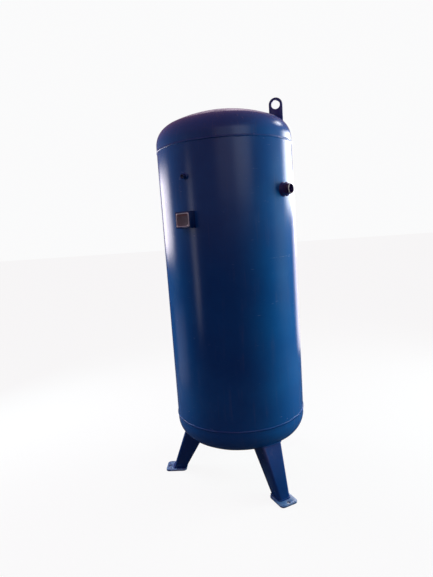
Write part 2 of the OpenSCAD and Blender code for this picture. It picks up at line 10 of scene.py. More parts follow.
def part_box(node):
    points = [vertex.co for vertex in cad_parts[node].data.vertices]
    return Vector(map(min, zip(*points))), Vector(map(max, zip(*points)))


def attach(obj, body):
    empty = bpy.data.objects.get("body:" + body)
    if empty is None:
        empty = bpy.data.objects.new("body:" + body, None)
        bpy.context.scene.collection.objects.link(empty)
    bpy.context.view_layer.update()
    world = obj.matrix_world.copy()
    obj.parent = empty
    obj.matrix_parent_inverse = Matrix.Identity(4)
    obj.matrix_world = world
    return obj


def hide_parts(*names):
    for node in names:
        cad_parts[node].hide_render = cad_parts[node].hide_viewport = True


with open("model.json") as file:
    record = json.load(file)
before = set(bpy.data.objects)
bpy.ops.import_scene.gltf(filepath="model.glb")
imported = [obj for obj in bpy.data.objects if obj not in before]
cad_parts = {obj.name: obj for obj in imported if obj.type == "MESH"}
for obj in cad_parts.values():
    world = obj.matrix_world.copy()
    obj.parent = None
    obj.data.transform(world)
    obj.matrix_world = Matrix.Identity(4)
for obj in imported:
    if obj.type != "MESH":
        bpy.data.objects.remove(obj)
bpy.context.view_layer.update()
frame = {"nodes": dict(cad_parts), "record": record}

# ---- The studio ----
# A plain pale floor under the tank. Bright windows stand behind it at both sides, two fills soften its
# dark sides, a strip and two dim screens stand before it, and a panel hangs behind. The camera is at chest
# height, rolled and pitched down a little.

MM = 0.001
LOW_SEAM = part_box("shell")[0].z


def turned(azimuth, radius, height=0.0):
    """A point at an azimuth in degrees from the front, positive towards +X."""
    a = math.radians(azimuth)
    return Vector((radius * math.sin(a), -radius * math.cos(a), height))


def add_node(tree, kind, inputs=None, **settings):
    """A shader node whose inputs are given as numbers, colours or other nodes' outputs."""
    made = tree.nodes.new("ShaderNode" + kind)
    for key, value in settings.items():
        setattr(made, key, value)
    for key, value in (inputs or {}).items():
        if isinstance(value, bpy.types.NodeSocket):
            tree.links.new(value, made.inputs[key])
        else:
            made.inputs[key].default_value = value
    return made


def add_object(name, data):
    """A new object, linked into the scene."""
    made = bpy.data.objects.new(name, data)
    bpy.context.scene.collection.objects.link(made)
    return made


CAMERA_AZIMUTH, CAMERA_DISTANCE, CAMERA_RISE = 1.75, 2.184, 0.918
CAMERA_PITCH, CAMERA_ROLL, CAMERA_YAW = 7.69, -4.0, -2.17
SENSOR_HEIGHT, CAMERA_LENS = 36, 27.02
camera_data = bpy.data.cameras.new("camera")
camera_data.sensor_fit = "VERTICAL"
camera_data.sensor_height = SENSOR_HEIGHT
camera_data.lens = CAMERA_LENS
camera = add_object("camera", camera_data)
bpy.context.scene.camera = camera
heading = math.radians(CAMERA_YAW - CAMERA_AZIMUTH)
pitch = math.radians(CAMERA_PITCH)
roll = math.radians(CAMERA_ROLL)
ahead = Vector((math.sin(heading) * math.cos(pitch), math.cos(heading) * math.cos(pitch),
                -math.sin(pitch)))
level = Vector((math.cos(heading), -math.sin(heading), 0))
above = level.cross(ahead)
right = math.cos(roll) * level + math.sin(roll) * above
upright = math.cos(roll) * above - math.sin(roll) * level
camera.matrix_world = Matrix((
    (right.x, upright.x, -ahead.x, 0), (right.y, upright.y, -ahead.y, 0),
    (right.z, upright.z, -ahead.z, 0), (0, 0, 0, 1)))
camera.location = turned(CAMERA_AZIMUTH, CAMERA_DISTANCE, LOW_SEAM + CAMERA_RISE)

FLOOR_HALF = 30.0
FLOOR_DROP = 0.5 * MM
floor_corners = [(x * FLOOR_HALF, y * FLOOR_HALF, -FLOOR_DROP)
                 for x, y in ((-1, -1), (1, -1), (1, 1), (-1, 1))]
floor_mesh = bpy.data.meshes.new("studio_floor")
floor_mesh.from_pydata(floor_corners, [], [(0, 1, 2, 3)])
floor = add_object("studio_floor", floor_mesh)
floor_paint = bpy.data.materials.new("pale_floor")
floor_paint.use_nodes = True
shades = floor_paint.node_tree
shades.nodes.clear()
seen_floor = add_node(shades, "BsdfDiffuse", {"Color": (0.08, 0.08, 0.082, 1)})
floor_glow = add_node(shades, "Emission", {"Color": (1, 1, 1, 1), "Strength": 0.905})
lit_floor = add_node(shades, "AddShader", {0: seen_floor.outputs[0], 1: floor_glow.outputs[0]})
dim_floor = add_node(shades, "BsdfDiffuse", {"Color": (0.10, 0.10, 0.11, 1)})
floor_ray = add_node(shades, "LightPath")
floor_mix = add_node(shades, "MixShader", {
    0: floor_ray.outputs["Is Camera Ray"], 1: dim_floor.outputs[0], 2: lit_floor.outputs[0]})
add_node(shades, "OutputMaterial", {"Surface": floor_mix.outputs[0]})
floor_mesh.materials.append(floor_paint)

# How far from the middle of a lamp its light starts to fade and where it ends, in shares of its size
FADE_START, FADE_END = 0.22, 0.5


def soft_box(name, azimuth, distance, height, width, tall, radiance, colour, aim, mirrored=True, soaks=True):
    """A lamp facing the tank's axis, brightest in its middle, as a diffused window or screen is.

    The paint doesn't mirror a lamp with mirrored off, and one with soaks off is only mirrored.
    """
    lamp = bpy.data.lights.new(name, "AREA")
    lamp.shape = "RECTANGLE"
    lamp.size, lamp.size_y = width, tall
    lamp.energy = radiance * math.pi * width * tall
    lamp.color = colour
    lamp.use_nodes = True
    tree = lamp.node_tree
    tree.nodes.clear()
    face = add_node(tree, "NewGeometry")
    across = add_node(tree, "SeparateXYZ", {0: face.outputs["Parametric"]})
    fades = []
    for axis in ("X", "Y"):
        off = add_node(tree, "Math", {0: across.outputs[axis], 1: 0.5}, operation="SUBTRACT")
        off = add_node(tree, "Math", {0: off.outputs[0]}, operation="ABSOLUTE")
        fades.append(add_node(tree, "MapRange", {
            "Value": off.outputs[0], "From Min": FADE_END, "From Max": FADE_START},
            interpolation_type="SMOOTHSTEP"))
    fade = add_node(tree, "Math", {0: fades[0].outputs[0], 1: fades[1].outputs[0]}, operation="MULTIPLY")
    glow = add_node(tree, "Emission", {"Strength": fade.outputs[0]})
    add_node(tree, "OutputLight", {0: glow.outputs[0]})
    lit = add_object(name, lamp)
    lit.visible_camera = False
    lit.visible_glossy = mirrored
    lit.visible_diffuse = soaks
    lit.location = turned(azimuth, distance, height)
    lit.rotation_euler = (Vector((0, 0, aim)) - lit.location).to_track_quat("-Z", "Y").to_euler()


soft_box("left_window", -121, 2.1, 1.43, 1.9, 1.00, 5.4, (1.0, 0.91, 0.95), 1.35)
soft_box("left_low_window", -102, 1.7, 0.30, 1.3, 0.9, 0.30, (1.0, 0.93, 1.0), 0.6)
soft_box("left_fill", -112, 2.3, 1.15, 1.6, 1.3, 8.0, (0.75, 1.0, 1.0), 0.8, mirrored=False)
soft_box("right_window", 128, 2.3, 1.82, 2.0, 1.1, 8.0, (0.98, 0.98, 1.0), 1.6, soaks=False)
soft_box("right_rim_window", 145, 2.3, 0.80, 1.5, 2.2, 2.4, (1.0, 0.90, 0.95), 0.9, soaks=False)
soft_box("rear_window", 160, 2.2, 1.35, 1.1, 1.0, 7.0, (1.0, 0.97, 1.0), 0.4, soaks=False)
soft_box("right_skylight", 116, 2.2, 2.95, 1.0, 0.5, 8.0, (0.97, 0.98, 1.0), 0.9)
soft_box("right_fill", 100, 2.6, 1.25, 2.2, 2.6, 9.0, (0.75, 1.0, 0.93), 1.2, mirrored=False)
soft_box("left_strip", -57, 3.0, 1.1, 0.55, 2.2, 1.3, (1.0, 0.93, 0.97), 1.1, soaks=False)
soft_box("front_screen", 31, 3.4, 2.5, 2.3, 2.4, 0.70, (0.90, 0.92, 1.0), 1.3, soaks=False)
soft_box("wide_screen", 14, 3.6, 2.5, 4.6, 2.4, 0.35, (1.0, 0.90, 1.0), 1.3, soaks=False)
soft_box("ceiling_panel", 176, 2.4, 3.3, 2.2, 0.8, 1.2, (1.0, 0.88, 0.95), 1.6, soaks=False)

world = bpy.data.worlds.new("studio_air")
bpy.context.scene.world = world
bpy.context.scene.view_settings.view_transform = "Standard"
world.use_nodes = True
air = world.node_tree
air.nodes.clear()
seen_air = add_node(air, "Background", {"Color": (0.96, 0.96, 0.965, 1), "Strength": 1.0})
skyward = add_node(air, "SeparateXYZ", {0: add_node(air, "TexCoord").outputs["Generated"]})
overhead = add_node(air, "MapRange", {"Value": skyward.outputs["Z"], "From Min": 0.08, "From Max": 0.5})
air_tint = add_node(air, "Mix", {
    0: overhead.outputs[0], 6: (0.17, 0.12, 0.155, 1), 7: (0.31, 0.14, 0.22, 1)}, data_type="RGBA")
dim_air = add_node(air, "Background", {"Color": air_tint.outputs[2], "Strength": 1.0})
air_ray = add_node(air, "LightPath")
air_mix = add_node(air, "MixShader", {
    0: air_ray.outputs["Is Camera Ray"], 1: dim_air.outputs[0], 2: seen_air.outputs[0]})
add_node(air, "OutputWorld", {"Surface": air_mix.outputs[0]})

# ---- The shell ----
# One 5 mm steel plate rolled round and welded along its right rear. Rolling leaves it a fraction of a
# millimetre out of round, and a hole is cut through it for each socket. It is stove enamelled deep blue,
# with one long fine scratch at the right.

TURN = 2 * math.pi
SHELL_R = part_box("shell")[1].x
TOP_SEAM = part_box("shell")[1].z
WALL = 5 * MM
SEAM_AZIMUTH = 110
SHELL_COLUMNS = 360
SHELL_ROWS = 150
PEEL_LIFT = 0.01 * MM
BLUE = (0.004, 0.120, 0.400, 1)
GRIME = (0.20, 0.19, 0.22, 1)


def maths(tree, operation, a, b=0.0, c=0.0, clamp=False):
    """One sum over the surface, of numbers or other nodes' outputs."""
    return add_node(tree, "Math", {0: a, 1: b, 2: c}, operation=operation, use_clamp=clamp).outputs[0]


def spread(tree, value, low, high):
    """0 at low, 1 at high, smoothly between."""
    ranged = add_node(tree, "MapRange", {"Value": value, "From Min": low, "From Max": high},
                      interpolation_type="SMOOTHSTEP")
    return ranged.outputs["Result"]


def mix_colour(tree, amount, first, second, blend="MIX"):
    """From the first colour to the second, by an amount from 0 to 1."""
    mixed = add_node(tree, "Mix", {0: amount, 6: first, 7: second}, data_type="RGBA", blend_type=blend)
    return mixed.outputs[2]


def noise(tree, place, scale, detail=3.0, stretch=None):
    """Noise over the object's own coordinates, so many features to the metre."""
    if stretch:
        place = add_node(tree, "Mapping", {"Vector": place, "Scale": stretch}).outputs[0]
    return add_node(tree, "TexNoise", {"Vector": place, "Scale": scale, "Detail": detail}).outputs["Fac"]


def new_group(name, inputs, outputs):
    """A node group with its own inputs and outputs, and the nodes that carry them."""
    group = bpy.data.node_groups.new(name, "ShaderNodeTree")
    for label, kind, value in inputs:
        socket = group.interface.new_socket(label, in_out="INPUT", socket_type=kind)
        socket.default_value = value
    for label, kind in outputs:
        group.interface.new_socket(label, in_out="OUTPUT", socket_type=kind)
    return group, group.nodes.new("NodeGroupInput"), group.nodes.new("NodeGroupOutput")


# Stoved enamel: orange peel, slight shade changes, drips of dust down the sides, dust settled on top,
# and faint rub marks and specks where it was knocked
stoved, given, result = new_group(
    "stoved_enamel",
    [("Paint", "NodeSocketColor", BLUE), ("Dust", "NodeSocketFloat", 0.3), ("Rubs", "NodeSocketFloat", 0.3)],
    [("Colour", "NodeSocketColor"), ("Gloss Loss", "NodeSocketFloat"), ("Peel", "NodeSocketFloat")])
place = add_node(stoved, "TexCoord").outputs["Object"]
shade = noise(stoved, place, 4.0, 4.0)
depth = mix_colour(stoved, spread(stoved, shade, 0.3, 0.75), (0.82, 0.82, 0.88, 1), (1.10, 1.08, 1.05, 1))
painted = mix_colour(stoved, 1.0, given.outputs["Paint"], depth, blend="MULTIPLY")
drips = noise(stoved, place, 60.0, 4.0, (1.0, 1.0, 0.06))
dust = noise(stoved, place, 9.0, 6.0)
dusty = maths(stoved, "MULTIPLY", spread(stoved, drips, 0.5, 0.8), spread(stoved, dust, 0.35, 0.75))
upward = add_node(stoved, "SeparateXYZ", {0: add_node(stoved, "NewGeometry").outputs["Normal"]}).outputs["Z"]
settled = maths(stoved, "MULTIPLY", spread(stoved, upward, 0.3, 1.0), spread(stoved, dust, 0.3, 0.8))
film = maths(stoved, "MULTIPLY", maths(stoved, "ADD", dusty, settled, clamp=True), given.outputs["Dust"])
scuffs = noise(stoved, place, 25.0, 8.0, (1.0, 1.0, 3.5))
specks = add_node(stoved, "TexVoronoi", {"Vector": place, "Scale": 34.0}).outputs["Distance"]
rubbed = maths(stoved, "MULTIPLY", spread(stoved, scuffs, 0.66, 0.74), given.outputs["Rubs"])
speck = maths(stoved, "MULTIPLY", spread(stoved, specks, 0.09, 0.05), spread(stoved, dust, 0.56, 0.62))
speck = maths(stoved, "MULTIPLY", speck, given.outputs["Rubs"])
worn = maths(stoved, "MAXIMUM", rubbed, speck)
dulled = mix_colour(stoved, maths(stoved, "MULTIPLY", film, 0.35), painted, GRIME)
dulled = mix_colour(stoved, maths(stoved, "MULTIPLY", worn, 0.5), dulled, (0.10, 0.24, 0.55, 1))
gloss = maths(stoved, "MULTIPLY_ADD", film, 0.25, 0.20)
gloss = maths(stoved, "MULTIPLY_ADD", worn, 0.22, gloss)
peel = noise(stoved, place, 320.0, 2.0)
peel = maths(stoved, "MULTIPLY_ADD", noise(stoved, place, 110.0, 1.0), 1.6, peel)
peel = maths(stoved, "MULTIPLY_ADD", worn, 0.8, peel)
for label, value in (("Colour", dulled), ("Gloss Loss", gloss), ("Peel", peel)):
    stoved.links.new(value, result.inputs[label])


def new_finish(name, metallic=0.0, specular=0.5):
    """An empty material and its Principled shader."""
    material = bpy.data.materials.new(name)
    material.use_nodes = True
    shader = material.node_tree.nodes["Principled BSDF"]
    shader.inputs["Metallic"].default_value = metallic
    shader.inputs["Specular IOR Level"].default_value = specular
    return material, material.node_tree, shader


def lay_on(tree, shader, colour, roughness, relief, lift, metallic=None):
    """Feeds a finish to its shader. The relief is too fine to model: so many metres high where it is 1."""
    bump = add_node(tree, "Bump", {"Height": relief, "Distance": lift, "Strength": 1.0})
    fed = {"Base Color": colour, "Roughness": roughness, "Normal": bump.outputs["Normal"]}
    if metallic is not None:
        fed["Metallic"] = metallic
    for label, value in fed.items():
        tree.links.new(value, shader.inputs[label])


def enamel(name, colour, dust=0.3, rubs=0.3):
    """A coat of stoved enamel with its own colour and share of dust and rub marks."""
    material, tree, shader = new_finish(name)
    coat = add_node(tree, "Group", {"Paint": colour, "Dust": dust, "Rubs": rubs}, node_tree=stoved)
    lay_on(tree, shader, coat.outputs["Colour"], coat.outputs["Gloss Loss"], coat.outputs["Peel"], PEEL_LIFT)
    return material


def grid_faces(rows, columns, round_rows=True, round_columns=True):
    """Quads over a grid of points: each row runs along or round the piece, and the rows go across it."""
    i, j = np.meshgrid(np.arange(rows if round_rows else rows - 1),
                       np.arange(columns if round_columns else columns - 1), indexing="ij")
    i, j = i.ravel(), j.ravel()
    up, on = (i + 1) % rows, (j + 1) % columns
    return np.column_stack((i * columns + j, i * columns + on, up * columns + on, up * columns + j)).tolist()


def capped_faces(rows, columns):
    """Quads round a piece from its first ring to its last, and one flat face over each end."""
    last = columns * (rows - 1)
    return grid_faces(rows, columns, round_rows=False) + [
        list(range(columns - 1, -1, -1)), list(range(last, last + columns))]


def place_piece(name, mesh, material, node, body="vessel"):
    """A mesh in its finish, riding on its body and standing for its CAD node."""
    mesh.materials.append(material)
    piece = add_object(name, mesh)
    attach(piece, body)
    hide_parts(node)
    return piece


CREASE = 35


def add_piece(name, points, faces, material, slot, node, crease=CREASE):
    """A piece of the vessel from points and faces in its own frame."""
    mesh = bpy.data.meshes.new(name)
    mesh.from_pydata([tuple(p) for p in points], [], faces)
    shape = bmesh.new()
    shape.from_mesh(mesh)
    bmesh.ops.remove_doubles(shape, verts=shape.verts, dist=1e-6)
    bmesh.ops.recalc_face_normals(shape, faces=shape.faces)
    shape.to_mesh(mesh)
    shape.free()
    mesh.shade_smooth()
    mesh.set_sharp_from_angle(angle=math.radians(crease))
    return place_piece(name, mesh, material, node)


def spun_points(rings, columns):
    """Rings of (radius, height) round the local Z axis; either may vary round the ring."""
    angle = np.arange(columns) * TURN / columns
    return np.concatenate([
        np.column_stack((np.cos(angle) * radius, np.sin(angle) * radius, height * np.ones(columns)))
        for radius, height in rings])


def set_out(points, azimuth, height):
    """Local points to a place on the shell: X towards +azimuth, Y up, Z straight out of its surface."""
    a = math.radians(azimuth)
    across = np.array((math.cos(a), math.sin(a), 0.0))
    outward = np.array((math.sin(a), -math.cos(a), 0.0))
    points = np.asarray(points)
    return (points[:, :1] * across + points[:, 1:2] * np.array((0, 0, 1.0)) + points[:, 2:3] * outward
            + outward * SHELL_R + np.array((0, 0, height)))


def azimuth_of(x, y):
    """The azimuth of a place, in degrees from the front."""
    return math.degrees(math.atan2(x, -y))


def mount_place(name):
    """Where the record puts a mount."""
    return next(mount["pos_m"] for mount in frame["record"]["mounts"] if mount["name"] == name)


def port_at(mount, across):
    """The azimuth and height of a port, and the outside diameter of its socket."""
    x, y, z = mount_place(mount)
    return azimuth_of(x, y), z, across


inspection_height = sum(corner.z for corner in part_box("inspection_socket")) / 2
PORTS = {
    "outlet": port_at("outlet_thread", 58 * MM),
    "inlet": port_at("inlet_port", 58 * MM),
    "gauge": port_at("gauge_port", 21 * MM),
    "safety": port_at("safety_valve_port", 34 * MM),
    "inspection": (180.0, inspection_height, 76 * MM),
}


def rolling(angle, height):
    """How far the rolled plate stands out from a true cylinder; nothing at the two girth seams.

    Long waves round it and short ones up it, in millimetres, and the flat that rolling leaves at the joint.
    """
    t = (height - LOW_SEAM) / (TOP_SEAM - LOW_SEAM)
    ease = np.clip(np.minimum(t, 1 - t) / 0.07, 0, 1) ** 2
    wave = (0.22 * np.cos(2 * angle + 0.7) + 0.10 * np.cos(3 * angle - 1.1 + 2.2 * t)
            + 0.07 * np.cos(7 * angle + 4.0 * t) * np.sin(3.1 * TURN * t + 0.5)
            + 0.05 * np.cos(12 * angle - 9.0 * t) * np.sin(5.3 * TURN * t)
            + 0.05 * np.sin(8.7 * TURN * t + 3 * angle))
    from_seam = (angle - math.radians(SEAM_AZIMUTH - 90) + math.pi) % TURN - math.pi
    flat = -0.7 * np.exp(-(from_seam / math.radians(7)) ** 2)
    return (wave + flat) * ease * MM


angles = np.arange(SHELL_COLUMNS) * TURN / SHELL_COLUMNS
rings = [(SHELL_R + rolling(angles, z), z) for z in np.linspace(LOW_SEAM, TOP_SEAM, SHELL_ROWS)]
rings += [(SHELL_R - WALL, TOP_SEAM), (SHELL_R - WALL, LOW_SEAM)]
shell_enamel = enamel("blue_shell_enamel", BLUE, dust=0.35, rubs=0.35)

# The scratch wavers round its height, fades out towards both ends and skips where it hardly touched.
# Of each pair, it is full up to the first (degrees from its middle, or off its line) and gone by the last.
SCRATCH_AZIMUTH = 49
SCRATCH_HALF = (9, 17)
SCRATCH_HEIGHT = 1119 * MM
SCRATCH_WAVER = 7 * MM
SCRATCH_EDGE = (0.5 * MM, 1.3 * MM)
coat = shell_enamel.node_tree
paint = coat.nodes["Principled BSDF"]
place = add_node(coat, "TexCoord").outputs["Object"]
spot = add_node(coat, "SeparateXYZ", {0: place})
bearing = maths(coat, "ARCTAN2", spot.outputs["X"], maths(coat, "MULTIPLY", spot.outputs["Y"], -1.0))
waver = maths(coat, "MULTIPLY_ADD", noise(coat, place, 14.0, 3.0), SCRATCH_WAVER,
              SCRATCH_HEIGHT - SCRATCH_WAVER / 2)
off_line = maths(coat, "ABSOLUTE", maths(coat, "SUBTRACT", spot.outputs["Z"], waver))
off_middle = maths(coat, "ABSOLUTE", maths(coat, "SUBTRACT", bearing, math.radians(SCRATCH_AZIMUTH)))
scratch = maths(coat, "MULTIPLY", spread(coat, off_line, SCRATCH_EDGE[1], SCRATCH_EDGE[0]),
                spread(coat, off_middle, math.radians(SCRATCH_HALF[1]), math.radians(SCRATCH_HALF[0])))
scratch = maths(coat, "MULTIPLY", scratch, spread(coat, noise(coat, place, 55.0, 5.0), 0.42, 0.6))
sprayed = paint.inputs["Base Color"].links[0].from_socket
marked = mix_colour(coat, maths(coat, "MULTIPLY", scratch, 0.55), sprayed, (0.16, 0.34, 0.58, 1))
coat.links.new(marked, paint.inputs["Base Color"])
shell = add_piece("rolled_shell", spun_points(rings, SHELL_COLUMNS), grid_faces(len(rings), SHELL_COLUMNS),
                  shell_enamel, "blue_enamel", "shell")


def drop_slivers(mesh):
    """Closes up the faces and edges that a cut or a bevel left with no size."""
    shape = bmesh.new()
    shape.from_mesh(mesh)
    bmesh.ops.dissolve_degenerate(shape, dist=4e-6, edges=shape.edges)
    bmesh.ops.remove_doubles(shape, verts=shape.verts, dist=2e-6)
    shape.to_mesh(mesh)
    shape.free()


def cut_through(piece, name, points, faces):
    """Cuts a closed shape out of a piece and keeps the result as its mesh."""
    mesh = bpy.data.meshes.new(name)
    mesh.from_pydata([tuple(p) for p in points], [], faces)
    tool = add_object(name, mesh)
    cut = piece.modifiers.new("cut", "BOOLEAN")
    cut.object = tool
    cut.solver = "EXACT"
    done = bpy.data.meshes.new_from_object(piece.evaluated_get(bpy.context.evaluated_depsgraph_get()))
    piece.modifiers.remove(cut)
    piece.data = done
    drop_slivers(done)
    done.shade_smooth()
    done.set_sharp_from_angle(angle=math.radians(CREASE))
    bpy.data.objects.remove(tool)


HOLE_REACH = 60 * MM
HOLE_COLUMNS = 72
hole_points, hole_faces = [], []
for azimuth, height, across in PORTS.values():
    start = sum(len(p) for p in hole_points)
    rod = spun_points([(across / 2, -HOLE_REACH), (across / 2, HOLE_REACH)], HOLE_COLUMNS)
    hole_points.append(set_out(rod, azimuth, height))
    hole_faces += [[start + index for index in face] for face in capped_faces(2, HOLE_COLUMNS)]
cut_through(shell, "port_holes", np.concatenate(hole_points), hole_faces)

# ---- The heads ----
# Two dished ends pressed from 5 mm plate: a shallow crown, a tight knuckle and a short straight skirt
# that butts against the shell. The press leaves faint rings and puckers round the knuckle.

CROWN_R = 650 * MM
KNUCKLE_R = 98 * MM
SKIRT = 25 * MM
DRAIN_R = 13.5 * MM
PUCKER_R, PUCKER_SPREAD = 285 * MM, 30 * MM
PRESS_SPAN = 600 * MM


def dish(inset=0.0, steps=(3, 26, 46)):
    """(radius, height) along a head's meridian from its edge to its middle, inset by a wall."""
    centre_r = SHELL_R - KNUCKLE_R
    centre_z = SKIRT - math.sqrt((CROWN_R - KNUCKLE_R) ** 2 - centre_r ** 2)
    lean = math.atan2(SKIRT - centre_z, centre_r)
    line = [(SHELL_R - inset, SKIRT * t) for t in np.linspace(0, 1, steps[0], endpoint=False)]
    line += [(centre_r + (KNUCKLE_R - inset) * math.cos(a), SKIRT + (KNUCKLE_R - inset) * math.sin(a))
             for a in np.linspace(0, lean, steps[1], endpoint=False)]
    line += [((CROWN_R - inset) * math.cos(a), centre_z + (CROWN_R - inset) * math.sin(a))
             for a in np.linspace(lean, math.pi / 2, steps[2])]
    return line


def pressed(radius, height):
    """How far the pressing left the outside proud of the true dish: puckers round the knuckle, and rings."""
    near = math.exp(-((radius - PUCKER_R) / PUCKER_SPREAD) ** 2)
    puckers = near * (0.16 * np.cos(11 * angles + 0.4) + 0.12 * np.cos(17 * angles - 1.0))
    rings_left = 0.035 * math.sin(radius * 240) * min(1.0, radius / (50 * MM))
    fade = min(1.0, height / (SKIRT * 2))
    return (puckers + rings_left) * fade * MM


def head_rings(seam, side, hole_r):
    """A head's rings from its edge over the outside to the middle, and back along the inside."""
    outside = [(r, z) for r, z in dish() if r > hole_r + 1 * MM]
    inside = [(r, z) for r, z in dish(WALL, (2, 12, 20)) if r > hole_r + 1 * MM]
    rows = [(r + pressed(r, z) * r / PRESS_SPAN, seam + side * (z + pressed(r, z))) for r, z in outside]
    middle = [(hole_r, seam + side * z) for r, z in (dish()[-1], dish(WALL)[-1])]
    return rows + middle + [(r, seam + side * z) for r, z in reversed(inside)]


head_enamel = enamel("blue_head_enamel", BLUE, dust=0.6, rubs=0.25)
for name, seam, side, hole_r in (("top_head", TOP_SEAM, 1, 0.0), ("bottom_head", LOW_SEAM, -1, DRAIN_R)):
    rings = head_rings(seam, side, hole_r)
    add_piece("pressed_" + name, spun_points(rings, SHELL_COLUMNS), grid_faces(len(rings), SHELL_COLUMNS),
              head_enamel, "blue_enamel", name)

# ---- The butt welds ----
# A bead run round each seam between shell and head, and one up the rolled plate's own joint. Each is a
# row of overlapping crescents, about 10 mm wide, enamelled over with the rest of the vessel, in a slightly
# darker copy of its blue that is painted shade.

BEAD_W = 10 * MM
BEAD_H = 2.2 * MM
RIPPLE = 4.0 * MM
RIPPLE_H = 0.45 * MM
RIPPLE_STEPS = 5
BEAD_TOE = 0.3 * MM
ROOT_W = 6 * MM
ROOT_DEPTH = 2.5 * MM


def crescents(run, across, size):
    """Height of the ripples at a run along the bead, with across going from -1 to 1 over its width."""
    phase = run / RIPPLE + 0.55 * across ** 2 + 0.35 * np.sin(run * 37.0)
    swell = 0.5 + 0.5 * np.cos(TURN * phase)
    return size * (swell ** 1.5) * (1 - 0.5 * across ** 2)


def bead_crown(run, across):
    """How far a butt bead stands over the plate; its two edges dip just under the surface."""
    crown = BEAD_H * (1 - across ** 2) ** 0.7 + crescents(run, across, RIPPLE_H) * (abs(across) < 0.95)
    return crown - (BEAD_TOE if abs(across) == 1 else 0)


def wander(run, seed):
    """A welder's small drift to one side and the other."""
    return (0.45 * np.sin(run * 31 + seed) + 0.3 * np.sin(run * 83 + 2 * seed)
            + 0.2 * np.sin(run * 171 + seed)) * MM


# The welds' enamel is the vessel's blue, slightly darkened as painted shade.
shaded_weld_enamel = enamel("shade_darkened_weld_enamel", (0.004, 0.100, 0.36, 1), dust=0.35, rubs=0.2)
bead_steps = np.linspace(-1, 1, 13)
columns = int(SHELL_R * TURN / RIPPLE) * RIPPLE_STEPS
weld_angle = np.arange(columns) * TURN / columns
run = weld_angle * SHELL_R
run_closed = np.sin(weld_angle * 9) * 0.05 + np.cos(weld_angle * 4) * 0.11
for name, seam, seed in (("top_girth_weld", TOP_SEAM, 1.0), ("bottom_girth_weld", LOW_SEAM, 4.0)):
    half = BEAD_W / 2 * (1 + 0.10 * np.sin(weld_angle * 23 + seed))
    rows = [(SHELL_R + bead_crown(run, across), seam + across * half + wander(run_closed, seed))
            for across in bead_steps]
    rows += [(SHELL_R - ROOT_DEPTH, seam + ROOT_W / 2), (SHELL_R - ROOT_DEPTH, seam - ROOT_W / 2)]
    add_piece(name.replace("girth_weld", "round_weld"), spun_points(rows, columns),
              grid_faces(len(rows), columns), shaded_weld_enamel, "enamelled_weld", name, crease=60)


def straight_bead():
    """The bead up the plate's own joint, from one girth weld to the other."""
    low, high = LOW_SEAM + BEAD_W / 2, TOP_SEAM - BEAD_W / 2
    steps = int((high - low) / RIPPLE) * RIPPLE_STEPS
    up = np.linspace(low, high, steps)
    crowns = [(across, bead_crown(up, across)) for across in bead_steps]
    crowns += [(side * ROOT_W / BEAD_W, np.full(steps, -ROOT_DEPTH)) for side in (1, -1)]
    rows = []
    for across, crown in crowns:
        angle = math.radians(SEAM_AZIMUTH - 90) + (across * BEAD_W / 2 + wander(up, 2.0)) / SHELL_R
        radius = SHELL_R + crown + rolling(angle, up)
        rows.append(np.column_stack((radius * np.cos(angle), radius * np.sin(angle), up)))
    start = np.arange(len(rows)) * steps
    ends = [start.tolist(), (start[::-1] + steps - 1).tolist()]
    return np.concatenate(rows), grid_faces(len(rows), steps, round_columns=False) + ends


add_piece("long_seam_weld", *straight_bead(), shaded_weld_enamel, "enamelled_weld", "shell_seam_weld", crease=60)

# ---- The backing rings ----
# A strip of bare steel rolled into a ring behind each girth seam, inside the vessel. It holds the molten
# weld, and stays behind under a skin of mill scale and a little rust.


def bare_metal(name, colour, rust=0.0, roughness=0.35, grain=(1.0, 1.0, 1.0), dark=0.6):
    """Metal with a fine grain, darker tarnish and, where asked, rust."""
    material, tree, shader = new_finish(name, metallic=1.0)
    place = add_node(tree, "TexCoord").outputs["Object"]
    tarnish = noise(tree, place, 45.0, 5.0)
    fine = noise(tree, place, 300.0, 3.0, grain)
    shadow = tuple(part * dark for part in colour[:3]) + (1,)
    base = mix_colour(tree, spread(tree, tarnish, 0.35, 0.7), shadow, colour)
    if rust:
        rusty = maths(tree, "MULTIPLY", spread(tree, noise(tree, place, 70.0, 8.0), 0.52, 0.66), rust)
        base = mix_colour(tree, rusty, base, (0.13, 0.045, 0.018, 1))
    rough = maths(tree, "MULTIPLY_ADD", fine, 0.22, roughness - 0.11)
    rough = maths(tree, "MULTIPLY_ADD", tarnish, 0.16, maths(tree, "SUBTRACT", rough, 0.08))
    lay_on(tree, shader, base, rough, fine, 0.02 * MM)
    return material


def refinish(node, material):
    """Gives a finish to a CAD piece that keeps its shape."""
    data = frame["nodes"][node].data
    data.materials.clear()
    data.materials.append(material)


ring_steel = bare_metal("scaled_ring_steel", (0.33, 0.32, 0.33, 1), rust=0.7, roughness=0.5)
for node in ("top_backing_ring", "bottom_backing_ring"):
    refinish(node, ring_steel)

# ---- The lifting lug ----
# A 12 mm flame-cut plate with a round eye, stood on the right shoulder of the top head and filleted to it
# all round. Its edges were eased with a grinder before the enamel went on.

# Edges sharper than the first angle are eased, and those still sharper than the second are shaded sharp
EASED_OVER, CREASED_OVER = 32, 50


